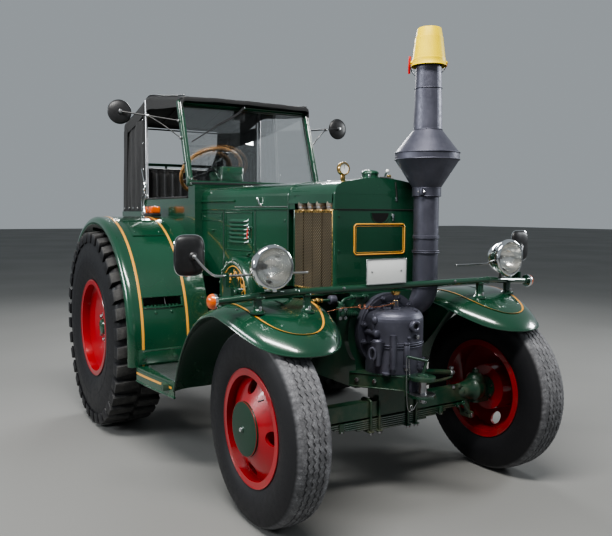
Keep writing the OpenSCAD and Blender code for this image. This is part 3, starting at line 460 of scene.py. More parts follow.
# %% The form class
class Form:
    """One piece being shaped: a bmesh, and the finishes that its faces take."""

    def __init__(self, *finishes):
        self.bm, self.finishes = bmesh.new(), finishes

    def add(self, made, finish=0, place=None):
        """Takes in a bmesh that was shaped apart, with its finish and place."""
        if place is not None:
            bmesh.ops.transform(made, matrix=place, verts=made.verts)
        for face in made.faces:
            face.material_index, face.smooth = finish, True
        holder = bpy.data.meshes.new("holder")
        made.to_mesh(holder)
        made.free()
        self.bm.from_mesh(holder)
        bpy.data.meshes.remove(holder)
        return self

    def block(self, low, high, ease=0.003, finish=0, steps=2):
        """A box between two corners, with edges that are eased by a small bevel."""
        made = bmesh.new()
        low, high = Vector(low), Vector(high)
        size = high - low
        bmesh.ops.create_cube(made, size=1, matrix=Matrix.Translation((low
                + high) / 2) @ Matrix.Diagonal((*size, 1)))
        if ease:
            bmesh.ops.bevel(made, geom=made.edges[:], offset=min(ease, min(size) * 0.45),
                            segments=steps, affect="EDGES", profile=0.5, material=-1,
                            clamp_overlap=True)
        return self.add(made, finish)

    def turned(self, profile, centre, along="y", finish=0, sides=48):
        """Spins a profile of (radius, place) pairs about an axis through the centre."""
        made = bmesh.new()
        corners = [made.verts.new((r, 0, h)) for r, h in profile]
        for a, b in zip(corners, corners[1:]):
            made.edges.new((a, b))
        bmesh.ops.spin(made, geom=made.verts[:] + made.edges[:], cent=(0, 0, 0), axis=(0, 0, 1),
                       angle=2 * math.pi, steps=sides, use_merge=True)
        welded(made)
        turn = {"z": Matrix.Identity(4), "y": Matrix.Rotation(math.radians(-90), 4, "X"),
                "x": Matrix.Rotation(math.radians(90), 4, "Y")}
        turn = turn[along] if isinstance(along, str) else Vector(along).to_track_quat("Z",
                "Y").to_matrix().to_4x4()
        return self.add(made, finish, Matrix.Translation(centre) @ turn)

    def drum(self, start, end, radius, finish=0, ease=0.002, sides=24, far_radius=None):
        """A round bar, boss or bolt between two points, with eased rims."""
        start, end = Vector(start), Vector(end)
        length, far = (end - start).length, radius if far_radius is None else far_radius
        e = min(ease, length * 0.4, radius * 0.4)
        profile = [(0, 0), (radius - e, 0), (radius - e * 0.3, e * 0.3), (radius, e), (far, length - e),
                   (far - e * 0.3, length - e * 0.3), (far - e, length), (0, length)]
        return self.turned(profile, start, end - start, finish, sides)

    def ball(self, centre, radius, finish=0, squash=(1, 1, 1), detail=16):
        """A ball, squashed along the axes where that is asked for."""
        made = bmesh.new()
        bmesh.ops.create_uvsphere(made, u_segments=detail * 2, v_segments=detail, radius=radius)
        return self.add(made, finish, Matrix.Translation(centre) @ Matrix.Diagonal((*squash, 1)))

    def tube(self, points, radius, finish=0, sides=10, smooth=True):
        """A rod or pipe along points, a bevelled curve made into a mesh; smooth rounds its corners."""
        line = bpy.data.curves.new("line", "CURVE")
        line.dimensions, line.fill_mode, line.use_fill_caps = "3D", "FULL", True
        line.bevel_depth, line.bevel_resolution = radius, max(1, sides // 4)
        track = line.splines.new("NURBS" if smooth else "POLY")
        track.points.add(len(points) - 1)
        for point, at in zip(track.points, points):
            point.co = (*at, 1)
        if smooth:
            track.order_u, track.use_endpoint_u, track.resolution_u = 3, True, 5
        holder = bpy.data.objects.new("line", line)
        made = bmesh.new()
        made.from_mesh(holder.to_mesh())
        holder.to_mesh_clear()
        bpy.data.objects.remove(holder)
        bpy.data.curves.remove(line)
        return self.add(welded(made, 1e-6), finish)

    def bolts(self, places, along, radius=0.009, height=0.006, finish=0):
        """Hexagon heads with a flat washer, at several places on one face."""
        along = Vector(along).normalized()
        for place in places:
            place = Vector(place)
            self.drum(place, place + along * height * 0.3, radius * 1.35, finish, 0.0006, 16)
            self.drum(place + along * height * 0.25, place + along * height * 1.3, radius, finish,
                      0.001, 6)
        return self

    def on_side(self, sign):
        """Puts a shape that was made on the left over to the right where sign is negative."""
        if sign < 0:
            swap_sides(self.bm)
        return self

    def piece(self, name, body="root", stands_for=(), crease=35, after=()):
        """Makes the object: smooth but for edges sharper than crease degrees, riding on a body."""
        for edge in self.bm.edges:
            edge.smooth = edge.is_manifold and edge.calc_face_angle(math.pi) < math.radians(crease)
        for face in self.bm.faces:
            face.smooth = True
        mesh = bpy.data.meshes.new(name)
        self.bm.to_mesh(mesh)
        self.bm.free()
        for finish in self.finishes:
            mesh.materials.append(finish.material)
        made = bpy.data.objects.new(name, mesh)
        bpy.context.scene.collection.objects.link(made)
        for kind, settings in after:
            modifier = made.modifiers.new(kind.lower(), kind)
            for key, value in settings.items():
                setattr(modifier, key, value)
        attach(made, body)
        if stands_for:
            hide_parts(*stands_for)
        print(name, "faces", len(mesh.polygons))
        return made


# %% [markdown]
# Each finish answers to one material slot of the tractor's record.

# %% Slots of the finishes
SLOT_OF = {"green_paint": (green_enamel, green_dusty_shaded, gold_line), "graphite_casting": (graphite,),
           "yellow_plastic": (bucket_yellow, handle_red), "radiator_core": (radiator_bronze,),
           "clear_glass": (clear_glass,), "black_plastic": (black_plastic,),
           "black_cloth": (black_cloth,), "bright_chrome": (chrome, mirror_glass),
           "black_leather": (leather,), "bright_steel": (steel, brass, copper),
           "amber_lens": (amber_lens,), "red_lens": (red_lens,), "white_enamel": (white_enamel,),
           "tan_wood": (rim_wood,), "red_paint": (red_enamel,), "tyre_rubber": (rubber,)}
for slot_name, finishes in SLOT_OF.items():
    for finish in finishes:
        finish.slot = slot_name
print("slots", len(SLOT_OF))

# %% [markdown]
# ## The front wings
# A front wing is one pressed sheet, arched over its wheel and rolled down all round, with a nose like
# a duck's bill. In plan it is a straight band that ends in a half oval. So a grid is mapped onto it:
# along the grid runs the outline, from the wing's foot round the nose and back, and across it go the
# rows from the lip up to the crest. A row near the lip lies on a quarter ellipse, which gives the
# roll, and the sheet then gets its thickness.

# %% The wing's crest, lip and outline
CREST = [(0.661, 0.500), (0.68, 0.587), (0.72, 0.690), (0.78, 0.787), (0.85, 0.867), (0.93, 0.933),
         (1.02, 0.985), (1.12, 1.021), (1.22, 1.041), (1.30, 1.042), (1.38, 1.030), (1.46, 1.005),
         (1.54, 0.972), (1.62, 0.934), (1.68, 0.898), (1.715, 0.872)]
LIP = [(0.661, 0.485), (0.70, 0.560), (0.76, 0.680), (0.84, 0.788), (0.93, 0.870), (1.02, 0.925),
       (1.12, 0.958), (1.22, 0.972), (1.32, 0.958), (1.40, 0.938), (1.50, 0.902), (1.60, 0.866),
       (1.68, 0.848), (1.715, 0.843)]
APRON_FOOT = [(1.17, 0.702), (1.23, 0.735), (1.32, 0.832), (1.41, 0.93)]
WING_IN, WING_OUT, WING_MID = 0.367, 0.929, 0.648
WING_FOOT, NOSE_FROM, NOSE_TIP = 0.662, 1.24, 1.709
STRAIGHT, ROLL_ROWS, ROLL_REACH = 0.36, 0.6, 0.19


def along(table, at):
    """The value of a short table at a place between its rows, on a smooth line."""
    rows = [table[0]] + list(table) + [table[-1]]
    for i in range(1, len(rows) - 2):
        (x0, a), (x1, b), (x2, c), (x3, d) = rows[i - 1], rows[i], rows[i + 1], rows[i + 2]
        if at <= x2 or i == len(rows) - 3:
            t = min(1, max(0, (at - x1) / (x2 - x1)))
            m1 = (c - a) / (x2 - x0) * (x2 - x1) if x2 > x0 else 0
            m2 = (d - b) / (x3 - x1) * (x2 - x1) if x3 > x1 else 0
            return (b * (2 * t ** 3 - 3 * t ** 2 + 1) + m1 * (t ** 3 - 2 * t ** 2 + t)
                    + c * (3 * t ** 2 - 2 * t ** 3) + m2 * (t ** 3 - t ** 2))


def wing_outline(u):
    """The outline in plan and the point of the crest that belongs to it, for u from 0 to 1."""
    if u < STRAIGHT or u > 1 - STRAIGHT:
        inner = u < 0.5
        share = (u if inner else 1 - u) / STRAIGHT
        x = WING_FOOT + (NOSE_FROM - WING_FOOT) * share
        return Vector((x, WING_IN if inner else WING_OUT)), Vector((x, WING_MID))
    turn = math.radians(-90 + 180 * (u - STRAIGHT) / (1 - 2 * STRAIGHT))
    power = 2.0 if turn < 0 else 2.35
    c, s = math.cos(turn), math.sin(turn)
    reach = (abs(c) ** power + abs(s) ** power) ** (-1 / power)
    half = (WING_OUT - WING_IN) / 2
    edge = Vector((NOSE_FROM + (NOSE_TIP - NOSE_FROM) * c * reach, WING_MID + half * s * reach))
    return edge, Vector((NOSE_FROM + 0.16 * c, WING_MID + 0.02 * s * c))


def wing_point(u, v, lift=0.0):
    """A point of the wing's skin, u round the outline and v from the lip to the crest line."""
    edge, crest = wing_outline(u)
    reach = (crest - edge).length
    roll = min(ROLL_REACH, reach * 0.8)
    if v < ROLL_ROWS:
        turn = math.radians(90 * v / ROLL_ROWS)
        distance, down = roll * (1 - math.cos(turn)), 1 - math.sin(turn)
    else:
        distance, down = roll + (reach - roll) * (v - ROLL_ROWS) / (1 - ROLL_ROWS), 0
    at = edge + (crest - edge) * (distance / reach)
    high, low = along(CREST, at.x), along(LIP, edge.x)
    return Vector((at.x, at.y, high - (along(CREST, edge.x) - low) * down + lift))


print("wing nose", tuple(round(c, 3) for c in wing_point(0.5, 0)), "crest",
      round(wing_point(0.3, 1).z, 3))


# %% The wings, with a rolled lip, an inner apron and their gold line
def wing_line(inset, lift, u_from, u_to, count):
    """Points that follow the outline at one distance inside it, for the painted line."""
    points = []
    for u in steps_between(u_from, u_to, count):
        edge, crest = wing_outline(u)
        roll = min(ROLL_REACH, (crest - edge).length * 0.8)
        v = ROLL_ROWS * math.degrees(math.acos(max(0.0, 1 - inset / roll))) / 90
        points.append(wing_point(u, v, lift))
    return points


def ribbon(points, width):
    """A thin flat band along points that lie on a surface, widened across their path in plan."""
    def shape(u, v):
        k = v * (len(points) - 1)
        i = min(len(points) - 2, int(k + 1e-6))
        at = points[i].lerp(points[i + 1], k - i)
        before, after = points[max(0, i - (k - i < 1e-6))], points[min(len(points) - 1, i + 1)]
        across = (after - before).cross(Vector((0, 0, 1))).normalized()
        return at + across * (u - 0.5) * width
    return moulded(2, len(points) - 1, shape)


def filler(u, v):
    """The part between the wing and the engine, u outwards and v forwards."""
    x = WING_FOOT + 0.516 * v
    return Vector((x, 0.192 + (0.47 - 0.192) * u, along(CREST, x) - 0.0025 * (1 - u)))


def apron(u, v):
    """The upright sheet under the inner edge, u forwards and v upwards."""
    x = 1.176 + 0.232 * u
    return Vector((x, 0.372 + 0.004 * math.sin(3 * v),
                   along(APRON_FOOT, x) * (1 - v) + along(LIP, x) * v))


POST_FOOT = [(0.0175, 0.080), (0.0185, 0.040), (0.0220, 0.022), (0.0300, 0.014), (0.0360, 0.010),
             (0.0370, 0.0)]
for side, sign in sides():
    wing = Form(green_enamel, gold_line, steel)
    skin = facing(welded(moulded(84, 16, wing_point), 0.0006), 2)
    bmesh.ops.solidify(skin, geom=skin.faces[:], thickness=0.004)
    wing.add(skin)
    wing.tube([wing_point(u, 0) + Vector((0, 0, 0.002)) for u in steps_between(0, 1, 100)], 0.0045,
              sides=8, smooth=False)
    wing.add(ribbon(wing_line(0.088, 0.0012, 0.13, 0.87, 120), 0.013), 1)
    wing.add(thick(moulded(4, 24, filler), 0.003))
    wing.add(thick(moulded(12, 10, apron), 0.003))
    wing.tube([(1.178, 0.372, 0.703), (1.23, 0.372, 0.735), (1.32, 0.372, 0.832),
               (1.405, 0.372, 0.928)], 0.004)
    # feet of the two posts that carry the lamp bar
    for y, x in ((0.56, 1.45), (0.805, 1.422)):
        low = along(CREST, x) - 0.022
        wing.turned(POST_FOOT, (x, y, low + 0.010), "z", 0, 28)
        wing.drum((x + 0.024, y, low + 0.016), (x + 0.024, y, low + 0.044), 0.0065, 2, 0.002, 12)
    wing.bolts([wing_point(u, 0.32) for u in (0.30, 0.62, 0.70)], (0.2, 0.2, 1), 0.006, 0.004, 2)
    wing.on_side(sign).piece("wing_skin_" + side, "root", ["front_wing_" + side], 40)

# %% [markdown]
# ## Tyres and wheels
# The tyres carry most of what the eye reads as weight. The front ones are road tyres with four
# zig-zag grooves, worn grey on the tread and black on the wall. The rear ones have heavy shoulder
# blocks. A tyre is a strip of cells rolled into a ring: one side of the strip runs round the wheel,
# the other from bead to bead over the tread.

# %% Tyre rubber with a worn tread
FRONT_HUB, REAR_HUB = Vector((1.375, 0.742, 0.463)), Vector((-0.600, 0.898, 0.670))


def tyre_rubber(name, hub, tread_from, tread_to, wall, worn, crack):
    """Rubber, black on the wall, that turns grey and cracked over the tread of one pair of wheels."""
    skin = Finish(name, ior=1.4)
    skin.slot = "tyre_rubber"
    x, y, z = skin.axes()
    out, up = x - hub.x, z - hub.z
    reach = (out * out + up * up).root()
    tread = reach.ramp(tread_from, tread_to)
    scuffs = skin.cloud(26, 6, rough=0.7).ramp(0.40, 0.72)
    cracks = 1 - skin.cracks(75, 0.07)
    ground = skin.between(tread * (0.45 + scuffs * 0.55), wall, worn)
    skin.feed("Base Color", skin.between(tread * cracks * crack, ground, (0.022, 0.022, 0.023)))
    skin.feed("Roughness", 0.46 + scuffs * 0.14 + tread * 0.25)
    ribs = ((reach * 900).wave() * 0.5 + 0.5) * (1 - tread) * reach.ramp(hub.z * 0.70, hub.z * 0.72)
    skin.relief(skin.cloud(210, 3) * 0.5 - tread * cracks * 0.9 + ribs * 0.25, 0.0011, 0.6)
    return skin


front_rubber = tyre_rubber("front_rubber", FRONT_HUB, 0.438, 0.456, (0.013, 0.013, 0.015),
                           (0.25, 0.25, 0.262), 0.5)
rear_rubber = tyre_rubber("rear_rubber", REAR_HUB, 0.630, 0.662, (0.012, 0.012, 0.014),
                          (0.085, 0.083, 0.080), 0.3)

# %% Front tyres with zig-zag grooves
FRONT_SECTION = [(-0.077, 0.2545), (-0.080, 0.270), (-0.080, 0.281), (-0.088, 0.293), (-0.097, 0.318),
                 (-0.1020, 0.345), (-0.1022, 0.372), (-0.0985, 0.400), (-0.0935, 0.420),
                 (-0.0900, 0.431), (-0.0880, 0.441), (-0.0800, 0.4505), (-0.068, 0.4565),
                 (-0.056, 0.4595)]
ZIGS, ZIG_SWING = 84, 0.0042
GROOVE_DEPTH, GROOVE_FLOOR, GROOVE_MOUTH = 0.0040, 0.0030, 0.0046


def zigzag(turn):
    """How far the grooves swing across the tread, at a share of a whole turn."""
    share = turn * ZIGS % 1
    return ZIG_SWING * (1 - 4 * abs(share - 0.5))


def front_section():
    """Rows of the tyre's section as place, radius and how far each follows the zig-zag."""
    half = [(p, r, 0) for p, r in FRONT_SECTION]
    for middle in (-0.042, -0.014):
        crown = 0.4615 if middle > -0.03 else 0.4600
        half += [(middle - GROOVE_MOUTH, crown, 1), (middle - GROOVE_FLOOR, crown - GROOVE_DEPTH, 1),
                 (middle + GROOVE_FLOOR, crown - GROOVE_DEPTH, 1),
                 (middle + GROOVE_MOUTH, crown + 0.0008, 1)]
    return half + [(0.0, 0.4628, 0)] + [(-p, r, z) for p, r, z in reversed(half)]


section = front_section()


def tyre_skin(u, v):
    """A point of the tyre, u across it from bead to bead and v round the wheel."""
    place, radius, zig = section[round(u * (len(section) - 1))]
    turn = 2 * math.pi * v
    # shallow sipes nick the shoulders, at uneven spacing
    radius -= 0.0022 * (math.sin(turn * 97) > 0.55) * (0.440 < radius < 0.458)
    return FRONT_HUB + Vector((radius * math.cos(turn), place + zig * zigzag(v),
                               radius * math.sin(turn)))


for side, sign in sides():
    tyre = Form(front_rubber)
    tyre.add(welded(moulded(len(section) - 1, ZIGS * 4, tyre_skin))).on_side(sign).piece("tyre_front_"
            + side, "front_wheel_" + side, ["front_tyre_" + side], 50)

# %% Rear tyres with shoulder blocks
REAR_SECTION = [(-0.130, 0.3055), (-0.133, 0.322), (-0.133, 0.335), (-0.143, 0.352), (-0.157, 0.395),
                (-0.1640, 0.440), (-0.1645, 0.485), (-0.1600, 0.530), (-0.1540, 0.568),
                (-0.1500, 0.592), (-0.1440, 0.612), (-0.1300, 0.628), (-0.105, 0.6385),
                (-0.070, 0.6420), (-0.035, 0.6435)]
BLOCKS = 34
# corners of a block on the tread, as lengths along and across it, and the radii of its top and its foot
NEAR, FAR = ((-0.026, 0.010), (0.034, 0.010)), ((-0.004, 0.158), (0.070, 0.158))
TOPS, FEET, TAPER, BACK_SHIFT = (0.6685, 0.6560), (0.632, 0.585), 0.003, 0.022


def tread_block():
    """One shoulder block: a cube whose corners are moved to the plan, then eased along its edges."""
    made = bmesh.new()
    bmesh.ops.create_cube(made, size=2)
    for vert in made.verts:
        ahead, outer, top = vert.co.x > 0, vert.co.y > 0, vert.co.z > 0
        length, place = (FAR if outer else NEAR)[ahead]
        if not top:
            length += TAPER if ahead else -TAPER
            place += 0.004 if outer else 0
        vert.co = Vector((length - BACK_SHIFT, place, (TOPS if top else FEET)[outer]))
    long_edges = [e for e in made.edges if e.calc_length() > 0.05
                  and min(v.co.z for v in e.verts) > 0.60]
    bmesh.ops.subdivide_edges(made, edges=long_edges, cuts=1, use_grid_fill=True)
    bmesh.ops.bevel(made, geom=made.edges[:], offset=0.004, segments=2, affect="EDGES", profile=0.5,
                    material=-1, clamp_overlap=True)
    return made


for side, sign in sides():
    tyre = Form(rear_rubber)
    carcass = [(r, p) for p, r in REAR_SECTION] + [(0.6440, 0.0)] + [(r, -p) for p,
            r in reversed(REAR_SECTION)]
    tyre.turned(carcass, REAR_HUB, "y", 0, 136)
    for i in range(BLOCKS):
        for half in (0, 1):
            block = tread_block()
            if half:
                swap_sides(block)
            turn = Matrix.Rotation(2 * math.pi * (i + half / 2) / BLOCKS, 4, "Y")
            tyre.add(block, 0, Matrix.Translation(REAR_HUB) @ turn)
    # a raised line on each wall
    for place in (-0.1605, 0.1605):
        tyre.turned([(0.455, place), (0.458, place * 1.03), (0.461, place * 1.01)], REAR_HUB, "y", 0,
                    96)
    tyre.on_side(sign).piece("tyre_rear_" + side, "rear_wheel_" + side, ["rear_tyre_" + side], 38)

# %% [markdown]
# The discs are good solids already, so they stay. A front wheel gets its green hub cover with a plated
# centre, a rear wheel its hub bolts, every rim its rolled edge, and a front rim its valve.

# %% Hub covers, nuts and rim edges
HUB_COVER = [(0.0, 0.1225), (0.014, 0.1225), (0.018, 0.1195), (0.050, 0.1190), (0.092, 0.1172),
             (0.119, 0.1140), (0.1265, 0.1120), (0.1285, 0.1085), (0.1285, 0.100)]
HUB_NUT = [(0.0, 0.1345), (0.0075, 0.1340), (0.0105, 0.1310), (0.0110, 0.1220)]
REAR_CAP = [(0.0, 0.092), (0.036, 0.090), (0.050, 0.084), (0.056, 0.070), (0.058, 0.0615)]
for side, sign in sides():
    cover = Form(hub_green_shaded, chrome, red_enamel, black_plastic)
    # the hub cover takes the darker green, which is painted shade
    cover.turned(HUB_COVER, FRONT_HUB, "y", 0, 64)
    cover.turned(HUB_NUT, FRONT_HUB, "y", 1, 24)
    for place in (-0.083, 0.083):
        cover.turned(bead(0.2765, place, 0.0040), FRONT_HUB, "y", 2, 96)
    valve = [FRONT_HUB + Vector(at) for at in ((0.150, 0.086, 0.170), (0.142, 0.112, 0.162))]
    cover.drum(*valve, 0.0035, 3, 0.001, 10)
    cover.on_side(sign).piece("hub_cover_front_" + side, "front_wheel_" + side)

    bolts = Form(red_enamel, steel, green_enamel)
    spots = circle(REAR_HUB + Vector((0, 0.062, 0)), 0.088, "XZ", range(0, 360, 45))
    bolts.bolts(spots, (0, 1, 0), 0.013, 0.010, 1)
    bolts.turned(REAR_CAP, REAR_HUB, "y", 2, 40)
    for place in (-0.138, 0.138):
        bolts.turned(bead(0.3275, place, 0.0045), REAR_HUB, "y", 0, 112)
    bolts.on_side(sign).piece("hub_bolts_rear_" + side, "rear_wheel_" + side)

# %% [markdown]
# ## Lamps
# A headlamp is a plated bowl, a deep mirror inside it, a bulb, and a fluted glass held by a rolled
# rim. They are all turned shapes on one axis, so each is a profile that is spun. The flutes of the
# glass are only relief.

# %% Lamp glass
lamp_glass = Finish("lamp_glass", base_color=(0.96, 0.98, 0.98, 1), roughness=0.03, ior=1.45,
                    transmission_weight=1.0)
lamp_glass.slot = "clear_glass"
_, gy, gz = lamp_glass.axes()
flutes = (gy * 520).wave() * 0.5 + 0.5
lamp_glass.feed("Alpha", 0.22 + flutes * 0.10)
lamp_glass.relief(flutes * gz.ramp(1.10, 1.20), 0.0016, 0.8)

# %% Headlamps
LAMP = Vector((1.347, 0.756, 1.217))
BOWL = [(0.0, 0.0), (0.022, 0.002), (0.045, 0.012), (0.066, 0.030), (0.082, 0.056), (0.092, 0.084),
        (0.0965, 0.108), (0.0975, 0.118), (0.1035, 0.1195), (0.1049, 0.124), (0.1049, 0.133),
        (0.1030, 0.140), (0.0985, 0.1455), (0.0930, 0.1480), (0.0890, 0.1470), (0.0885, 0.1420)]
DEEP_MIRROR = [(0.0885, 0.140), (0.082, 0.118), (0.070, 0.094), (0.054, 0.074), (0.034, 0.060),
               (0.014, 0.054), (0.0, 0.053)]
PANE = [(0.0900, 0.1425), (0.080, 0.1455), (0.060, 0.1485), (0.035, 0.1505), (0.0, 0.1512)]
# the lamp bar slopes down and back outwards, and the lamp's post stands on it
OUT_SHARE = (0.756 - 0.62) / 0.375
POST_X, POST_FOOT_Z = 1.45 - 0.058 * OUT_SHARE, 1.097 - 0.027 * OUT_SHARE + 0.0186
for side, sign in sides():
    lamp = Form(chrome, lamp_mirror, lamp_glass, black_plastic, steel)
    for profile, finish, count in ((BOWL, 0, 72), (DEEP_MIRROR, 1, 64), (PANE, 2, 64)):
        lamp.turned(profile, LAMP, "x", finish, count)
    lamp.drum(LAMP + Vector((0.052, 0, 0)), LAMP + Vector((0.085, 0, 0)), 0.011, 4)
    lamp.ball(LAMP + Vector((0.094, 0, 0)), 0.012, 1, (1.3, 1, 1))
    lamp.block(LAMP + Vector((0.128, -0.010, -0.1085)), LAMP + Vector((0.150, 0.010, -0.096)), 0.003, 0)
    lamp.drum((POST_X, LAMP.y, POST_FOOT_Z), (POST_X, LAMP.y, POST_FOOT_Z + 0.030), 0.017, 4)
    lamp.drum((POST_X, LAMP.y, POST_FOOT_Z + 0.026), (POST_X, LAMP.y, 1.150), 0.010, 4)
    lamp.ball((POST_X, LAMP.y, 1.140), 0.020, 3)
    lamp.on_side(sign).piece("headlamp_" + side, "root", ["headlamps"], 40)

# %% [markdown]
# The turn lamps at the bar's ends show an amber dome outwards and a plated ring. The lamps on the
# mudguards are small oblong ones, with two amber lenses on a black base.

# %% Turn lamps, mudguard lamps and tail lamps
BAR_END, LAMP_SEAT_Z = Vector((1.392, 0.995, 1.070)), 1.4355
TURN_DOME = [(0.0, 0.0435), (0.014, 0.0425), (0.026, 0.038), (0.034, 0.028), (0.036, 0.018)]
TURN_RING = [(0.0355, 0.019), (0.0362, 0.017), (0.0362, 0.008), (0.034, 0.0035), (0.0, 0.0032)]
TAIL_RING = [(0.045, 0.0), (0.045, 0.014), (0.0435, 0.018), (0.041, 0.018)]
TAIL_DOME = [(0.0425, 0.017), (0.0395, 0.028), (0.032, 0.035), (0.018, 0.039), (0.0, 0.0397)]
TAIL_OUT = Vector((cosd(140), 0, sind(140)))
TAIL_SEAT = Vector((-0.600, 0.940, 0.665)) + TAIL_OUT * 0.7703
for side, sign in sides():
    turn_lamp = Form(amber_lens, chrome, black_plastic)
    turn_lamp.turned(TURN_DOME, BAR_END, "y", 0, 40)
    turn_lamp.turned(TURN_RING, BAR_END, "y", 1, 40)
    # the oblong lamp on the mudguard: a base, two lenses and the web between them
    for x0, x1, y0, low, high, ease, finish, steps in ((-0.718, -0.562, 0.552, 0.0012, 0.022, 0.006, 2,
                                                        3),
                                                       (-0.716, -0.642, 0.554, 0.020, 0.0725, 0.014, 0,
                                                        4),
                                                       (-0.640, -0.564, 0.554, 0.020, 0.0725, 0.014, 0,
                                                        4),
                                                       (-0.643, -0.637, 0.5535, 0.018, 0.0715, 0.002, 2,
                                                        2)):
        turn_lamp.block((x0, y0, LAMP_SEAT_Z + low), (x1, 1.18 - y0, LAMP_SEAT_Z + high), ease, finish,
                        steps)
    turn_lamp.on_side(sign).piece("turn_lamps_" + side, "root", ["amber_lamps"])

    tail = Form(red_lens, chrome)
    tail.turned(TAIL_RING, TAIL_SEAT, TAIL_OUT, 1, 48)
    tail.turned(TAIL_DOME, TAIL_SEAT, TAIL_OUT, 0, 48)
    tail.on_side(sign).piece("tail_lamp_" + side, "root", ["tail_lamps"])

# %% [markdown]
# ## The rear mudguards
# A mudguard is a sheet bent over the tyre, with a broad rolled outer edge. Its cross line is swept
# round an arc and then straight down to the foot. The cells of the step slot are left out, and two
# gold lines follow the sheet.

# %% Sweep of the mudguard
GUARD_X, GUARD_Z, GUARD_R, FOOT_Z = -0.600, 0.665, 0.770, 0.531
SLOT_LOW, SLOT_HIGH = (math.degrees(math.asin((z - GUARD_Z) / GUARD_R)) for z in (0.887, 0.944))
SLOT_Y, EDGE_Y, EDGE_R, LINE_HALF = (0.672, 0.920), 1.0195, 0.034, 0.0080
arc = {round(angle, 3) for angle in steps_between(0, 150, 61) + [SLOT_LOW, SLOT_HIGH]}
stations = sorted(arc, reverse=True) + [-0.045, -0.090, FOOT_Z - GUARD_Z]


def on_guard(angle, y, inward=0.0):
    """A point of the mudguard at an angle; below 0 the number is metres down from the arc's end."""
    r = GUARD_R - inward
    if angle < 0:
        return Vector((GUARD_X + r, y, GUARD_Z + angle))
    return Vector((GUARD_X + r * cosd(angle), y, GUARD_Z + r * sind(angle)))


def in_slot(face):
    """Whether a cell lies in the step slot."""
    middle = face.calc_center_median()
    low, high = (GUARD_Z + GUARD_R * sind(angle) for angle in (SLOT_LOW, SLOT_HIGH))
    return middle.x > 0 and low < middle.z < high and SLOT_Y[0] < middle.y < SLOT_Y[1]


# the line across: each place with its depth below the arc, flat at first, then a round edge that
# turns under
cross = [(y, 0.0) for y in (0.5005, 0.520, 0.60, 0.672, 0.690, 0.76, 0.84, 0.903, 0.920,
                            0.955)] + [(0.980, 0.0006)]
cross += [(EDGE_Y - EDGE_R + EDGE_R * sind(a), EDGE_R * (1 - cosd(a))) for a in range(12, 91, 13)]
cross += [(EDGE_Y, 0.044), (1.0185, 0.050), (1.0150, 0.0530), (1.0110, 0.0505)]
for side, sign in sides():
    guard = Form(green_enamel, gold_line, chrome, steel, green_dusty_shaded)
    sheet = lattice(cross, stations, lambda across, angle: on_guard(angle, *across))
    bmesh.ops.delete(sheet, geom=[face for face in sheet.faces if in_slot(face)], context="FACES")
    guard.add(thick(welded(sheet, 1e-7), 0.0060, 2))
    for y in (0.934, 0.646):
        strip = lattice((-LINE_HALF, -0.003, 0.003, LINE_HALF), [a for a in stations if a < 118],
                        lambda w, angle: on_guard(angle, y + w, -0.0012 + 0.0006 * abs(w) / LINE_HALF))
        guard.add(thick(strip, 0.0012, 2), 1)
    # lips of the step slot: a rolled edge above, a serrated grip below
    top_edge = [on_guard(SLOT_HIGH + 0.3, y, -0.001) for y in steps_between(0.668, 0.924, 9)]
    guard.tube(top_edge, 0.0065, 0, 10)
    low_edge = [on_guard(SLOT_LOW - 0.4 * math.sin((y - 0.668) / 0.256 * math.pi), y, -0.002)
                for y in steps_between(0.668, 0.924, 9)]
    guard.tube(low_edge, 0.0075, 0, 10)
    for y in steps_between(0.705, 0.890, 9):
        p = on_guard(SLOT_LOW + 0.2, y, 0.004)
        guard.block(p - Vector((0.008, 0.007, 0.010)), p + Vector((0.006, 0.007, 0.012)), 0.003, 0)
    for y in (0.672, 0.922):
        guard.tube([on_guard(SLOT_LOW, y, -0.0005), on_guard(SLOT_HIGH, y, -0.0005)], 0.005, 0, 8,
                   smooth=False)
    guard.bolts([on_guard(SLOT_LOW - 2.6, y, 0.0005) for y in (0.745, 0.845)], (1, 0, 0.28), 0.008,
                0.005, 0)
    # cover plate under the lamp, plate at the foot, bolts along the cab and the foot
    cover = moulded(3, 8, lambda u, v: on_guard(73 - 16 * v, 0.668 + 0.210 * u, -0.0045))
    guard.add(thick(cover, 0.0045, 2))
    guard.tube([on_guard(73, y, -0.004) for y in (0.664, 0.77, 0.882)], 0.006, 0, 8)
    guard.tube([on_guard(57, y, -0.004) for y in (0.668, 0.77, 0.878)], 0.0035, 0, 8)
    guard.bolts([on_guard(a, y, -0.004) for a in (70, 60) for y in (0.690, 0.856)], (0.42, 0, 0.91),
                0.006, 0.003, 0)
    guard.bolts([on_guard(a, 0.527, 0.0) for a in (100, 80, 60, 40, 20)], (0.6, 0, 0.8), 0.008, 0.004,
                0)
    guard.block((0.1705, 0.700, 0.545), (0.1820, 0.968, 0.628), 0.005, 0)
    guard.tube([(0.178, y, 0.630) for y in (0.702, 0.85, 0.966)], 0.006, 0, 8)
    guard.bolts([(0.182, y, z) for y, z in ((0.735, 0.588), (0.930, 0.588))], (1, 0, 0), 0.012, 0.007,
                0)
    # stay bars beneath, from the cab to the sheet
    guard.tube([(-0.35, 0.505, 1.240), (-0.35, 0.80, 1.310), (-0.36, 0.96, 1.360)], 0.012, 4)
    guard.tube([(-0.85, 0.505, 1.240), (-0.85, 0.80, 1.300), (-0.85, 0.96, 1.345)], 0.012, 4)
    guard.on_side(sign).piece("mudguard_skin_" + side, "root", ["rear_mudguard_" + side], 32)

# %% The running boards, with a ribbed tread plate and a gold line on the valance
BOARD_BACK, BOARD_FRONT, BOARD_IN, BOARD_TOP = 0.1715, 0.6590, 0.5005, 0.5390
BOARD_LONG = BOARD_FRONT - BOARD_BACK


def board_edge(share):
    """The outer edge, which draws in towards the front, at a share of the board's length."""
    return 0.979 - 0.055 * share ** 1.3


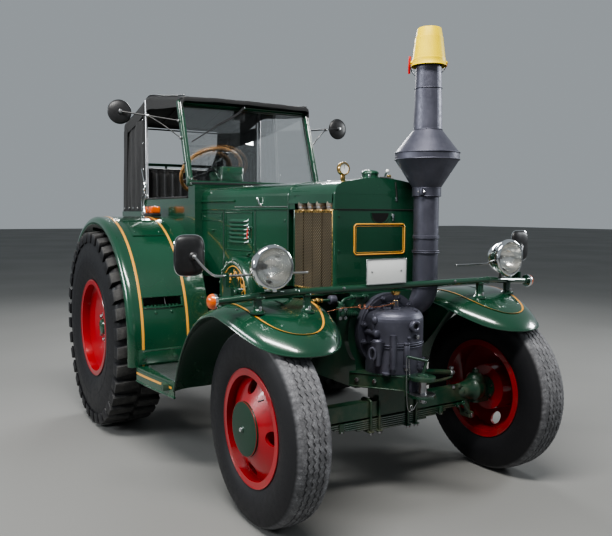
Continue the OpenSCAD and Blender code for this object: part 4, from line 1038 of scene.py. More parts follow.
def board_plate(u, v):
    return Vector((BOARD_BACK + BOARD_LONG * u, BOARD_IN + (board_edge(u) - BOARD_IN) * v, BOARD_TOP))


def valance(u, v):
    """The sheet that hangs from the outer edge, rounded at its top."""
    bow = 0.010 * (1 - cosd(90 * max(0.0, 1 - v * 6)))
    return Vector((BOARD_BACK + BOARD_LONG * u, board_edge(u) - bow, 0.5380 - 0.088 * v))


def board_line(u, v):
    return Vector((BOARD_BACK + 0.004 + (BOARD_LONG - 0.010) * u, board_edge(u) + 0.0008,
                   0.508 - 0.013 * v))


for side, sign in sides():
    board = Form(green_enamel, gold_line, steel, green_dusty_shaded)
    board.add(thick(moulded(12, 6, board_plate), 0.010))
    board.add(thick(moulded(12, 12, valance), 0.006))
    board.add(thick(moulded(12, 1, board_line), 0.0008), 1)
    board.tube([(BOARD_BACK + BOARD_LONG * s, board_edge(s) - 0.002, 0.4515)
                for s in steps_between(0, 1, 7)], 0.007, 0, 8)
    board.block((0.2000, 0.620, 0.5385), (0.6450, 0.915, 0.5425), 0.001, 2)
    for i in range(17):
        y = 0.630 + i * 0.0172
        board.block((0.206, y, 0.5420), (0.639, y + 0.007, 0.5455), 0.0012, 2, 1)
    board.bolts([(x, y, 0.5425) for x in (0.215, 0.42, 0.63) for y in (0.6245, 0.909)], (0, 0, 1),
                0.006, 0.003, 2)
    for x in (0.200, 0.560):
        board.block((x, 0.31 if x > 0.4 else 0.24, 0.481), (x + 0.040, 0.965, 0.519), 0.004, 3)
    board.on_side(sign).piece("running_board_" + side, "root", ["running_boards"])

# %% [markdown]
# Between the tyre and the tub an inner wall closes each mudguard's arch, so nobody sees through its
# step slot.

# %% Inner walls of the mudguards
def inner_wall(u, v):
    """A point of the wall, u up the front of the arch and v towards the hub."""
    angle = -6 + 62 * u
    return on_guard(angle if angle > 0 else 0.5 + 0.2 * u, 0.6385, 0.006 + 0.37 * v)


for side, sign in sides():
    wall = Form(green_dusty_shaded)
    sheet = moulded(24, 4, inner_wall)
    wall.add(thick(welded(sheet), 0.002))
    wall.on_side(sign).piece("mudguard_wall_" + side, crease=40)

# %% [markdown]
# ## The fuel tank and the front panel
# The front of the hood is the fuel tank, which sits like a saddle over the radiators, with a flat
# panel below it. Both have soft corners. The tank's skin is a strip of cells bent over the outline of
# the hood; its front is closed and its rim is beveled, and the cells over the radiators are left out,
# so that their header tubes show.

# %% The outline across the hood
def hood_ring(half, low, top, shoulder=0.062, crown=0.026):
    """The outline over the hood from low on the left to low on the right, as Y and Z."""
    s, z = half - shoulder, top - crown - shoulder
    left = [(half, low + (z - low) * i / 6) for i in range(6)]
    left += [(s + shoulder * cosd(a), z + shoulder * sind(a)) for a in range(0, 76, 15)]
    left += [(s * (1 - i / 5), top - crown * (1 - i / 5) ** 2) for i in range(1, 5)]
    return left + [(0, top)] + [(-y, z) for y, z in reversed(left)]


def hood_side(x):
    """How far the tapered hood's side stands from the centre plane at a place along it."""
    return 0.288 + (0.800 - x) * 0.162 / 0.860


# %% The tank
tank = Form(green_enamel, black_plastic)
ring = hood_ring(0.2875, 1.4842, 1.6498)
ring[1:6] = [(0.2875, z) for z in (1.500, 1.530, 1.5595, 1.5600, 1.5620)]
ring[-6:-1] = [(-y, z) for y, z in reversed(ring[1:6])]
xs = [0.801, 0.870, 0.9, 1.0, 1.1, 1.2, 1.250, 1.272]
skin = lattice(ring, xs, lambda yz, x: Vector((x, *yz)))
front = [e for e in skin.edges if e.is_boundary and min(v.co.x for v in e.verts) > 1.27]
bmesh.ops.contextual_create(skin, geom=front)
sharp = [e for e in skin.edges if not e.is_boundary and min(v.co.x for v in e.verts) > 1.2719]
bmesh.ops.recalc_face_normals(skin, faces=skin.faces)
bmesh.ops.bevel(skin, geom=sharp, offset=0.019, segments=5, affect="EDGES", profile=0.5, material=-1,
                clamp_overlap=True)


def over_radiator(face):
    """Whether a cell of the tank's skin hides the header tubes of a radiator."""
    at = face.calc_center_median()
    return at.z < 1.5597 and 0.871 < at.x < 1.249 and abs(at.y) > 0.25


bmesh.ops.delete(skin, geom=[face for face in skin.faces if over_radiator(face)], context="FACES")
bmesh.ops.recalc_face_normals(skin, faces=skin.faces)
bmesh.ops.solidify(skin, geom=skin.faces[:], thickness=0.003)
tank.add(skin)
# near-black wall and ceiling of the recess over each radiator: painted shade
for sign in (-1, 1):
    y0, y1 = sorted((sign * 0.190, sign * 0.226))
    tank.block((0.806, y0, 1.486), (1.262, y1, 1.575), 0.004, 1)
    y0, y1 = sorted((sign * 0.190, sign * 0.284))
    tank.block((0.868, y0, 1.560), (1.256, y1, 1.566), 0.002, 1)
tank.piece("fuel_tank_skin", "root", ["fuel_tank"], 30)

# %% The front panel with its grip recess, latch and plain name frame
panel = Form(green_enamel, gold_line, chrome, painted_shade_black)
plan = [(1.240, 0.2875), (1.254, 0.2875)]
plan += [(1.254 + 0.018 * sind(a), 0.2695 + 0.018 * cosd(a)) for a in range(15, 91, 15)]
plan += [(1.272, 0.2695 * (1 - i / 8)) for i in range(1, 9)]
plan = plan + [(x, -y) for x, y in reversed(plan[:-1])]
panel.add(thick(lattice(plan, steps_between(1.0515, 1.4810, 9), lambda xy, z: Vector((*xy, z))), 0.004))
# a near-black line along the top edge: painted shade in the gap under the tank
panel.tube([(1.2725, y, 1.4825) for y in (-0.270, 0.0, 0.270)], 0.0030, 3, smooth=False)


def framed(form, low, high, corner, x, radius, finish, step=15, overlap=1):
    """A rounded rectangle of thin tube that faces forwards, between two corners given as Y and Z."""
    points = []
    for y, z, start in ((high[0] - corner, high[1] - corner, 0),
                        (low[0] + corner, high[1] - corner, 90),
                        (low[0] + corner, low[1] + corner, 180),
                        (high[0] - corner, low[1] + corner, 270)):
        points += [(x, y + corner * cosd(a), z + corner * sind(a))
                   for a in range(start, start + 91, step)]
    form.tube(points + points[:overlap], radius, finish, 8, smooth=False)


framed(panel, (-0.166, 1.248), (0.166, 1.407), 0.018, 1.2735, 0.0042, 1)
framed(panel, (-0.155, 1.259), (0.155, 1.396), 0.010, 1.2725, 0.0012, 1)
GRIP_Z = 1.465
recess = [(0.060 * cosd(a), 0.055 * sind(a)) for a in range(180, 361, 12)]
# the grip recess is a flat near-black half disc, painted shade, set in a slightly larger green one that
# makes its lip
for spread, x, finish in ((1.0, 1.2728, 3), (1.08, 1.2724, 0)):
    dip = lattice(recess, (0, spread), lambda yz,
                  reach: Vector((x, yz[0] * reach, GRIP_Z + yz[1] * reach)))
    panel.add(welded(dip), finish)
panel.tube([(1.274, y, GRIP_Z + z) for y, z in recess], 0.0026, 0, 8, smooth=False)
panel.drum((1.272, 0.083, 1.452), (1.280, 0.083, 1.452), 0.010, 2)
panel.block((1.277, 0.076, 1.425), (1.2815, 0.088, 1.456), 0.002, 2)
panel.bolts([(1.272, sign * 0.262, z) for sign in (-1, 1) for z in (1.09, 1.27, 1.45)], (1, 0, 0),
            0.0055, 0.003, 0)
panel.piece("front_panel_skin", "root", ["front_panel"], 30)

# %% [markdown]
# ## The radiators
# Each side radiator is four upright elements with a fine mesh of fins, a brass strip along its top
# and a rubber header hose on each element. The fins are far too fine to model, so they are drawn by
# the finish, from two waves: bronze fins, with painted shade in the gaps between them.

# %% Radiator finish and pieces
radiator_fins_and_shade = Finish("radiator_fins_painted_shade", metallic=0.7)
radiator_fins_and_shade.slot = "radiator_core"
fx, _, fz = radiator_fins_and_shade.axes()
FINS_ALONG, FINS_UP = 300, 393
row = ((fz * FINS_UP).wave() > 0) * math.pi
fins_against_gap_shade = ((fx * FINS_ALONG + row).wave() * 0.5 + 0.5) * abs((fz * FINS_UP).wave())
dusty = radiator_fins_and_shade.cloud(9, 5, rough=0.65).ramp(0.35, 0.7)
fin_tone = radiator_fins_and_shade.between(dusty, (0.21, 0.165, 0.105), (0.33, 0.265, 0.175))
# near black between the fins: painted shade in the gaps of the core
radiator_fins_and_shade.feed("Base Color", radiator_fins_and_shade.between(fins_against_gap_shade, (0.012, 0.010, 0.009), fin_tone))
radiator_fins_and_shade.feed("Roughness", 0.5 + dusty * 0.2)
radiator_fins_and_shade.relief(fins_against_gap_shade, 0.002, 0.7)
hose_rubber = plastic("hose_rubber", (0.075, 0.060, 0.048), (0.20, 0.165, 0.13), 0.5)
hose_rubber.slot = "radiator_core"
CORE_BACK, CORE_FRONT, CORES = 0.877, 1.250, 4
HOSE = [(0.0, 0.0585), (0.018, 0.0575), (0.030, 0.052), (0.0365, 0.043), (0.0380, 0.030),
        (0.0370, 0.018), (0.0340, 0.008), (0.0350, 0.0)]
CLIP = [(0.0365, 0.010), (0.0385, 0.0105), (0.0385, 0.0155), (0.0365, 0.016)]
for side, sign in sides():
    core = Form(radiator_fins_and_shade, brass, hose_rubber, steel, green_enamel)
    wide = (CORE_FRONT - CORE_BACK) / CORES
    for i in range(CORES):
        x0 = CORE_BACK + i * wide
        core.block((x0 + 0.003, 0.212, 1.052), (x0 + wide - 0.003, 0.2925 - 0.0015 * (i % 2), 1.474),
                   0.002, 0, 1)
        core.block((x0 + 0.001, 0.215, 1.466), (x0 + wide - 0.001, 0.2938, 1.4825), 0.002, 1)
        core.block((x0 + 0.001, 0.215, 1.0515), (x0 + wide - 0.001, 0.2938, 1.064), 0.002, 1)
        mid = x0 + wide / 2 + (0.004 if i % 2 else -0.003)
        core.turned(HOSE, (mid, 0.254, 1.4825), "z", 2, 32)
        core.turned(CLIP, (mid, 0.254, 1.4825), "z", 3, 32)
        core.drum((mid + 0.024, 0.282, 1.4995), (mid + 0.034, 0.287, 1.4995), 0.004, 1, 0.001, 8)
    core.block((0.866, 0.2795, 1.0515), (0.8765, 0.2935, 1.4825), 0.003, 4)
    core.block((1.2505, 0.2795, 1.0515), (1.2540, 0.2900, 1.4825), 0.001, 1)
    core.on_side(sign).piece("radiator_core_" + side, "root", ["radiators"], 30)

# %% [markdown]
# ## Trim of the hood
# The hood's sheet stays, and its trim is set on it: the bead along its shoulder, the hinge line over
# its crown, the frame round the louvres with their turned lips, small catches, knobs and a red lever.
# The side tapers, so every place on it comes from one function of X.

# %% Hood trim
LOUVRES, LOUVRE_LOW, LOUVRE_HIGH, LOUVRE_BACK, LOUVRE_FRONT = 6, 1.275, 1.430, 0.236, 0.434
LEVER_X, LEVER_Z = 0.448, 1.372


def at_hood(x, z, out=0.0):
    """A point at the hood's left side, out from its sheet."""
    return Vector((x, hood_side(x) + out, z))


def louvre(z):
    """The lip of one louvre: a sheet that bows out below and fades at both ends."""
    def shape(u, v):
        fade = min(1.0, 9 * min(v, 1 - v))
        x = LOUVRE_BACK + (LOUVRE_FRONT - LOUVRE_BACK) * v
        return at_hood(x, z + 0.0085 - 0.0170 * u, 0.0008 + 0.0105 * fade * sind(8 + 86 * u))
    return thick(moulded(6, 16, shape), 0.0015)


for side, sign in sides():
    trim = Form(green_enamel, chrome, handle_red, black_plastic, steel)
    trim.tube([at_hood(x, 1.4845, 0.0010) for x in (-0.055, 0.2, 0.5, 0.798)], 0.0048, 0)
    trim.tube([at_hood(x, 1.4995, 0.0008) for x in (0.30, 0.5, 0.798)], 0.0030, 4)
    trim.tube([at_hood(x, 1.5360, 0.0010) for x in (-0.055, 0.1, 0.30)], 0.0075, 0)
    # seams between the panels: a black rod, painted shade in each lap, with a green rod beside it
    for x, low, high in ((0.180, 1.056, 1.478), (0.500, 1.056, 1.478), (0.798, 1.056, 1.560)):
        trim.tube([at_hood(x, z, 0.0004) for z in (low, (low + high) / 2, high)], 0.0026, 3)
        trim.tube([at_hood(x + 0.006, z, 0.0004) for z in (low, (low + high) / 2, high)], 0.0028, 0)
    # frame of the louvred door
    x0, x1, z0, z1 = 0.205, 0.475, 1.235, 1.466
    corners = [(x0, z0), (x1, z0), (x1, z1), (x0, z1), (x0, z0)]
    trim.tube([at_hood(x, z, 0.0006) for x, z in corners], 0.0042, 0, smooth=False)
    for i in range(LOUVRES):
        trim.add(louvre(LOUVRE_LOW + (i + 0.5) * (LOUVRE_HIGH - LOUVRE_LOW) / LOUVRES))
    # lever on the door, catches and knobs
    trim.drum(at_hood(LEVER_X, LEVER_Z, 0), at_hood(LEVER_X, LEVER_Z, 0.016), 0.010, 1)
    trim.tube([at_hood(LEVER_X, LEVER_Z, 0.013), at_hood(0.445, 1.340, 0.017),
               at_hood(0.444, 1.308, 0.016)], 0.0042, 2)
    trim.tube([at_hood(LEVER_X, LEVER_Z, 0.012), at_hood(0.475, 1.378, 0.012)], 0.0045, 1)
    for x, z in ((0.56, 1.512), (0.07, 1.35), (0.44, 1.215), (0.60, 1.225)):
        trim.drum(at_hood(x, z, -0.002), at_hood(x, z, 0.012), 0.009, 1 if z > 1.5 else 0, 0.002, 16)
    trim.drum(at_hood(0.56, 1.512, 0.010), at_hood(0.548, 1.545, 0.018), 0.005, 1)
    trim.ball(at_hood(0.547, 1.548, 0.018), 0.009, 1)
    # small strip panel behind the door
    corners = [(-0.052, 1.415), (0.165, 1.415), (0.165, 1.462), (-0.052, 1.462)]
    trim.tube([at_hood(x, z, 0.0006) for x, z in corners + corners[:1]], 0.003, 0, smooth=False)
    trim.bolts([at_hood(x, z) for x, z in ((0.145, 1.44), (0.145, 1.27), (-0.03, 1.44), (0.77, 1.42),
                                           (0.77, 1.10), (0.52, 1.10), (-0.03, 1.12))], (0.16, 1, 0),
               0.0055, 0.003, 0)
    trim.on_side(sign).piece("hood_trim_" + side)

FILLER_CAP = [(0.0, 0.045), (0.020, 0.0445), (0.036, 0.041), (0.0455, 0.034), (0.0475, 0.030),
              (0.0475, 0.025), (0.0440, 0.022), (0.0440, 0.009), (0.0510, 0.006), (0.0520, 0.0)]
GAUGE_CASE = [(0.0, 0.0), (0.028, 0.0), (0.0345, 0.005), (0.0355, 0.014), (0.0355, 0.024),
              (0.0330, 0.0290), (0.0285, 0.0295), (0.0275, 0.0250)]
crown = Form(green_enamel, black_plastic, chrome, brass, white_enamel, leather)
crown.tube([(x, 0.0, 1.6505) for x in (-0.055, 0.4, 0.798)], 0.0035, 0)
crown.tube([(0.800, y, z - 0.0005) for y, z in hood_ring(0.288, 1.4842, 1.6498)], 0.0028, 0,
           smooth=False)
# filler cap with its bead, and the water thermometer in its brass rim
cap = Vector((1.180, 0, 1.6503))
crown.turned(FILLER_CAP, cap, "z", 0, 48)
gauge = Vector((1.140, -0.150, 1.6375))
crown.drum(gauge, gauge + Vector((0, 0, 0.030)), 0.0125, 3)
face = gauge + Vector((-0.012, 0, 0.0615))
crown.turned(GAUGE_CASE, face, "x", 3, 40)
crown.turned([(0.0280, 0.0245), (0.0, 0.0245)], face, "x", 4, 40)
crown.block(face + Vector((0.0248, -0.001, 0)), face + Vector((0.0258, 0.001, 0.020)), 0.0003, 1)
# lever and strap to the right of the cap
crown.drum((1.215, -0.030, 1.651), (1.215, -0.030, 1.672), 0.008, 2)
crown.tube([(1.205, 0.075, 1.652), (1.215, 0.078, 1.680), (1.228, 0.080, 1.690)], 0.005, 2)
crown.ball((1.228, 0.080, 1.690), 0.010, 4)
crown.drum((1.20, 0.112, 1.645), (1.20, 0.112, 1.672), 0.012, 3)
crown.tube([(1.19, 0.060, 1.657), (1.245, 0.085, 1.655), (1.268, 0.100, 1.640), (1.2745, 0.104, 1.600),
            (1.2745, 0.108, 1.545)], 0.0045, 5)
crown.block((1.2722, 0.100, 1.530), (1.2765, 0.116, 1.552), 0.002, 2)
crown.piece("tank_top_fittings", "root", ["tank_fittings"])

# %% [markdown]
# ## The cloth top
# One sheet of thick black cloth runs from a rail on the windscreen over a hoop to the rear corner and
# down to the tub. It is tight on the hoop and sags a little between its supports, its sides turn down
# over the edge, and a wide opening is cut in its rear. A row of points follows the middle line; at
# each of them the cross line is bent down at both ends. Small folds come from noise that is stretched
# along the pull of the cloth.

# %% Middle line of the roof
RIDGE_X, BOW_X = -1.0, -1.045
SUPPORTS, SAGS, PINCHES = (-0.30, -1.0, -1.60), (0.009, 0.011), (0.006, 0.008)
WINDOW_Y, WINDOW_Z = 0.364, (1.800, 2.175)


def roof_height(x):
    """The height of the roof's ridge, which falls to both sides of the hoop."""
    span, drop = (0.733, 0.105) if x > RIDGE_X else (0.610, 0.150)
    return 2.362 - drop * (abs(x - RIDGE_X) / span) ** 1.1


def rear_x(z):
    """Where the leaning rear of the top stands at a height."""
    return -1.610 - (2.212 - z) * 0.065 / 0.738


def sag_between(x, depths):
    """How far the cloth gives way between its supports, by its own depth in each bay."""
    for (a, b), depth in zip(zip(SUPPORTS, SUPPORTS[1:]), depths):
        if b <= x <= a:
            t = (a - x) / (a - b)
            return 4 * t * (1 - t) * depth
    return 0.0


def share_between(value, low, high):
    """Where a value lies between two others, from 0 to 1."""
    return max(0.0, min(1.0, (value - low) / (high - low)))


line = [(-0.2655, 2.224), (-0.2640, 2.238), (-0.2655, 2.250), (-0.2740, 2.2565)]
for x in steps_between(-0.300, -1.540, 32):
    round_off = 0.006 * max(0, 1 - abs(x - RIDGE_X) / 0.09)
    line.append((x, roof_height(x) - 0.001 - round_off - sag_between(x, SAGS)))
line += [(-1.570, 2.221), (-1.596, 2.208), (-1.612, 2.188), (-1.617, 2.160)]
line += [(rear_x(z) - 0.002, z) for z in steps_between(2.130, 1.478, 20)]
middle = [Vector((x, 0, z)) for x, z in line]
print("roof line", round(sum((b - a).length for a, b in zip(middle, middle[1:])), 3), "m")


def fold(place, size, depth, stretch=(1, 1, 1)):
    """A soft fold at a place, from noise."""
    return depth * noise(Vector([c * s / size for c, s in zip(place, stretch)]))


# %% The sheet over the roof and down the rear
FLAT_END, BEND_END, HEM_END, BEND_R, HALF_WIDE = 0.4645, 0.502, 0.560, 0.024, 0.4985
hem_side = [FLAT_END + 0.010 * i for i in range(4)] + [BEND_END, 0.512, 0.528, 0.545, HEM_END]
columns = {round(a, 4) for a in hem_side + [-a for a in hem_side] + steps_between(-0.445, 0.445, 29)
           + [-WINDOW_Y, WINDOW_Y]}


def across_cloth(reach, half, drop):
    """How far out and how far down the cloth is, at a reach from its middle line."""
    flat = half - BEND_R
    if reach <= FLAT_END:
        return reach * flat / FLAT_END, 0.0
    if reach <= BEND_END:
        angle = (reach - FLAT_END) / (BEND_END - FLAT_END) * math.pi / 2
        return flat + BEND_R * math.sin(angle), BEND_R * (1 - math.cos(angle))
    share = (reach - BEND_END) / (HEM_END - BEND_END)
    return half - 0.003 * share, BEND_R + share * drop


def cloth_point(a, i):
    """A point of the cloth: a is its place across, i its number along the middle line."""
    point = middle[i]
    ahead = (middle[min(i + 1, len(middle) - 1)] - middle[max(i - 1, 0)]).normalized()
    out = Vector((0, 1, 0)).cross(ahead)
    if out.z < 0 or (abs(out.z) < 0.5 and out.x > 0 and point.x < -1.5):
        out = -out
    if point.x > -0.28:
        out = Vector((0, 0, 1))
    rear = share_between(-point.x, 1.57, 1.605)
    drop = 0.050 + 0.030 * share_between(-point.x, 0.3, 1.0)
    y, down = across_cloth(abs(a), HALF_WIDE - sag_between(point.x, PINCHES), drop)
    down += 0.006 * (y / 0.5) ** 4 * (1 - rear)
    at = point + Vector((0, math.copysign(y, a), 0)) - out * down
    folds = fold(at, 0.22, 0.006, (0.5, 1.6, 1)) + fold(at, 0.06, 0.0022, (0.6, 1.5, 1)) - 0.003
    at += out * folds * (1 - 0.5 * rear)
    if rear:
        at.x += 0.006 * noise(Vector((at.y * 9, 0.3, at.z * 2.2))) * rear + 0.002
    return at


def in_window(face):
    """Whether a cell lies in the rear opening."""
    at = sum((vert.co for vert in face.verts), Vector()) / 4
    return at.x < -1.59 and abs(at.y) < WINDOW_Y - 0.004 and WINDOW_Z[0] < at.z < WINDOW_Z[1]


cloth = lattice(sorted(columns), range(len(middle)), cloth_point)
bmesh.ops.delete(cloth, geom=[face for face in cloth.faces if in_window(face)], context="FACES")
facing(welded(cloth, 1e-7), 2)
SMOOTHED = ("SUBSURF", {"levels": 1, "render_levels": 1})
top_wall = ("SOLIDIFY", {"thickness": 0.0022, "offset": -1})
cloth_top = Form(black_cloth).add(cloth).piece("cloth_top", "root", ["soft_top"], 60,
                                               [top_wall, SMOOTHED])

# %% Side curtains, gathered a little between the hoop and the rear corner
CURTAIN_FOOT, CURTAIN_Y = 1.479, 0.4885


def curtain(sign):
    """The shape of one curtain: u from the hoop to the rear corner, v from the tub up to the roof."""
    def shape(u, v):
        x = -1.108 - 0.530 * u - 0.025 * (1 - v) * u
        high = min(roof_height(x), 2.214 - max(0, -x - 1.60) * 1.2) - 0.030
        z = CURTAIN_FOOT + (high - CURTAIN_FOOT) * v
        phase = 2 * math.pi * (3.1 * u + 1.3 * u * u) + 1.8 * math.sin(2.3 * v + 2 * u) + sign
        ripple = 0.0034 * math.sin(phase) * (1 - 0.45 * v)
        ripple += fold((x, sign, z), 0.16, 0.010, (1, 1, 0.35)) + fold((x, sign, z), 0.05, 0.003,
                (1, 1, 0.5))
        edge = min(1.0, 8 * u + 0.3) * min(1.0, 8 * (1 - u) + 0.2)
        slack = 0.010 * math.sin(math.pi * v) * max(0.0, 1 - 7 * u)
        return Vector((x - slack, sign * (CURTAIN_Y + ripple * edge), z))
    return shape


curtain_wall = ("SOLIDIFY", {"thickness": 0.0020, "offset": 0})
for side, sign in sides():
    sheet = Form(black_cloth).add(moulded(70, 36, curtain(sign)))
    sheet.piece("side_curtain_" + side, "root", (), 60, [curtain_wall, SMOOTHED])

# %% Hems, piping, straps and fasteners of the top
hems = Form(black_plastic, chrome, black_cloth, steel)
for sign in (-1, 1):
    hems.tube([(p.x, sign * (0.4795 - sag_between(p.x, PINCHES)), p.z - 0.0035) for p in middle[3:-20]],
              0.0045, 0, 8)
    # webbing strap inside, from the rail over the hoop to the rear corner
    hems.tube([(p.x, sign * 0.190, p.z - 0.012) for p in middle[4:-24]], 0.0040, 0, 8)
    # hem of the curtain's front edge, and its fasteners
    hems.tube([(-1.106, sign * 0.489, z) for z in (1.480, 1.70, 1.95, 2.20, 2.31)], 0.0060, 2, 8)
    for z in (1.60, 1.80, 2.00, 2.18):
        hems.drum((-1.118, sign * 0.4935, z), (-1.118, sign * 0.4985, z), 0.008, 1, 0.002, 16)
    for x in steps_between(-1.16, -1.62, 5):
        hems.drum((x, sign * 0.492, 1.497), (x, sign * 0.4995, 1.497), 0.009, 1, 0.003, 16)
    # a bright toggle clamp and its bent rod at the foot of the hoop
    hems.block((-1.062, sign * 0.500 - 0.008, 1.560), (-1.028, sign * 0.500 + 0.008, 1.600), 0.003, 1)
    rod = ((-1.050, 0.504, 1.600), (-1.062, 0.507, 1.560), (-1.082, 0.507, 1.520),
           (-1.060, 0.507, 1.476), (-1.052, 0.507, 1.446))
    hems.tube([(x, sign * y, z) for x, y, z in rod], 0.0065, 1)
    hems.drum((-1.052, sign * 0.500, 1.452), (-1.052, sign * 0.518, 1.452), 0.016, 3, 0.003, 20)
    hems.ball((-1.070, sign * 0.507, 1.640), 0.011, 1, detail=8)
# the piped edge of the rear opening
for z in WINDOW_Z:
    hems.tube([(rear_x(z) - 0.003, y, z) for y in (-WINDOW_Y, 0, WINDOW_Y)], 0.0065, 2, 8, smooth=False)
for y in (-WINDOW_Y, WINDOW_Y):
    hems.tube([(rear_x(z) - 0.003, y, z) for z in (WINDOW_Z[0], 2.0, WINDOW_Z[1])], 0.0065, 2, 8)
for y in steps_between(-0.44, 0.44, 7):
    hems.drum((-1.674, y, 1.497), (-1.6815, y, 1.497), 0.009, 1, 0.003, 16)
# rail on the windscreen that the cloth is clamped to, and the padded sleeve of the hoop
hems.block((-0.352, -0.500, 2.2275), (-0.272, 0.500, 2.2400), 0.003, 0)
hems.tube([(BOW_X, y, roof_height(BOW_X) - 0.030) for y in (-0.470, 0.0, 0.470)], 0.0185, 2, 16)
top_hems = hems.piece("top_hems", crease=40)


# %% Chrome straps that tie the top down at the hoop
STRAP_RUN = [(-1.108, 1.800), (-1.062, 1.720), (-1.030, 1.660), (-1.052, 1.615), (-1.112, 1.585),
             (-1.124, 1.545), (-1.104, 1.500), (-1.100, 1.462)]
for side, sign in sides():
    strap = Form(chrome)
    strap.tube([(x, 0.5125, z) for x, z in STRAP_RUN], 0.0042, 0, 10)
    strap.drum((-1.052, 0.506, 1.615), (-1.052, 0.520, 1.615), 0.0110, 0, 0.002, 16)
    strap.block((-1.116, 0.506, 1.440), (-1.084, 0.517, 1.468), 0.003, 0)
    strap.on_side(sign).piece("top_strap_" + side, crease=40)

# %% [markdown]
# ## The seat
# The seat's cushion and back are stuffed, so they are made as cloth is: a block is remeshed into even
# cells, blown up a little by a cloth simulation with the corners held back by a cap on the movement,
# and then the sewn pleats are pressed in along straight lines. A last subdivision smooths them.

# %% Stuffing a pad
PLEAT, PLEAT_HALF, SEAM_HALF, CELL, CLOTH_STEPS = 0.0690, 0.0075, 0.007, 0.010, 20


def smooth_step(value, low, high):
    """0 below low, 1 above high, smooth between."""
    t = share_between(value, low, high)
    return t * t * (3 - 2 * t)


def stuffed(name, low, high, ease, cap, press, stands_for):
    """A padded piece between two corners; press moves a point of its skin to form the pleats."""
    block = Form(leather).block(low, high, ease, 0, 5)
    mesh = bpy.data.meshes.new(name)
    block.bm.to_mesh(mesh)
    block.bm.free()
    pad = bpy.data.objects.new(name, mesh)
    bpy.context.scene.collection.objects.link(pad)
    even = pad.modifiers.new("even", "REMESH")
    even.mode, even.voxel_size = "VOXEL", CELL
    pad.data = bpy.data.meshes.new_from_object(pad.evaluated_get(bpy.context.evaluated_depsgraph_get()))
    pad.modifiers.clear()
    before = [v.co.copy() for v in pad.data.vertices]
    swell = pad.modifiers.new("swell", "CLOTH")
    swell.settings.use_pressure, swell.settings.uniform_pressure_force = True, 4.0
    swell.settings.effector_weights.gravity = 0
    for step in range(1, CLOTH_STEPS + 1):
        bpy.context.scene.frame_set(step)
    settled = pad.evaluated_get(bpy.context.evaluated_depsgraph_get())
    blown = bpy.data.meshes.new_from_object(settled)
    pad.modifiers.clear()
    for vert, start, end in zip(pad.data.vertices, before, blown.vertices):
        move = end.co - start
        vert.co = start + move * min(1.0, cap / max(move.length, 1e-9))
    bpy.data.meshes.remove(blown)
    bpy.context.scene.frame_set(1)
    for vert in pad.data.vertices:
        vert.co = press(vert.co)
    pad.data.materials.clear()
    pad.data.materials.append(leather.material)
    for polygon in pad.data.polygons:
        polygon.use_smooth = True
    last = pad.modifiers.new("last", "SUBSURF")
    last.levels = last.render_levels = 1
    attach(pad, "root")
    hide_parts(stands_for)
    print(name, "cells", len(pad.data.polygons))


def pleats(y):
    """How near a point is to a pleat line, from 0 to 1, and the swell between the lines."""
    place = (y / PLEAT + 0.5) % 1.0
    gap = min(place, 1 - place) * PLEAT
    return math.exp(-(gap / PLEAT_HALF) ** 2), math.sin(math.pi * place)


def pleated_area(value, start, stop, y):
    """1 where the pleats are, 0 on the plain border round them."""
    return smooth_step(value, *start) * (1 - smooth_step(value, *stop)) * (1 - smooth_step(abs(y),
            0.375, 0.392))


def press_back(co):
    """Presses pleats and a seam into the front of the back rest."""
    front = smooth_step(co.x, -1.335, -1.300)
    inside = pleated_area(co.z, (1.310, 1.345), (1.795, 1.815), co.y)
    line, bulge = pleats(co.y)
    seam = math.exp(-((co.z - 1.800) / SEAM_HALF) ** 2)
    depth = front * (inside * (0.015 * line - 0.006 * bulge) + 0.012 * seam)
    slump = 0.004 * noise(co * 5)
    return Vector((co.x - depth + slump * front, co.y, co.z))


def press_cushion(co):
    """Presses pleats, a seam and the driver's hollow into the top of the cushion."""
    upper = smooth_step(co.z, 1.375, 1.405)
    inside = pleated_area(co.x, (-1.280, -1.250), (-0.945, -0.925), co.y)
    line, bulge = pleats(co.y)
    seam = math.exp(-((co.x + 0.935) / SEAM_HALF) ** 2)
    sat = 0.010 * math.exp(-((co.y + 0.19) / 0.16) ** 2 - ((co.x + 1.08) / 0.15) ** 2)
    depth = upper * (inside * (0.014 * line - 0.005 * bulge) + 0.010 * seam + sat)
    return Vector((co.x, co.y, co.z - depth))


stuffed("seat_back_pad", (-1.400, -0.394, 1.306), (-1.300, 0.394, 1.832), 0.030, 0.008, press_back,
        "seat_back")
stuffed("seat_cushion_pad", (-1.284, -0.394, 1.305), (-0.888, 0.394, 1.410), 0.032, 0.008,
        press_cushion, "seat_cushion")

# %% [markdown]
# ## Inside the cab
# Through the windscreen show the wheel with its slim varnished rim, a small green instrument box on
# the dash and the rail behind the seat. The wheel turns with nothing here, because the record has no
# joint for it.

# %% Steering wheel
HUB = [(0.0, 0.024), (0.012, 0.0235), (0.026, 0.019), (0.0345, 0.010), (0.0370, 0.0), (0.0370, -0.018),
       (0.0, -0.018)]
HORN_BUTTON = [(0.0, 0.030), (0.010, 0.029), (0.014, 0.024), (0.014, 0.020)]
WHEEL_R, RIM_HALF, GRIPS, SPOKES = 0.225, 0.0135, 14, 3
column_top = Vector((-0.500, -0.190, 1.760))
column_foot = Vector((-0.150, -0.190, 1.400))
lean = (column_top - column_foot).normalized()
turn = Matrix.Translation(column_top) @ lean.to_track_quat("Z", "Y").to_matrix().to_4x4()


def spoke(share, v):
    """A flat spoke that narrows outwards and dips towards the hub."""
    dip = -0.006 - 0.018 * math.sin(math.pi * (1 - share) / 2) + 0.018
    return Vector((0.030 + 0.188 * share, (v - 0.5) * (0.030 - 0.010 * share), dip))


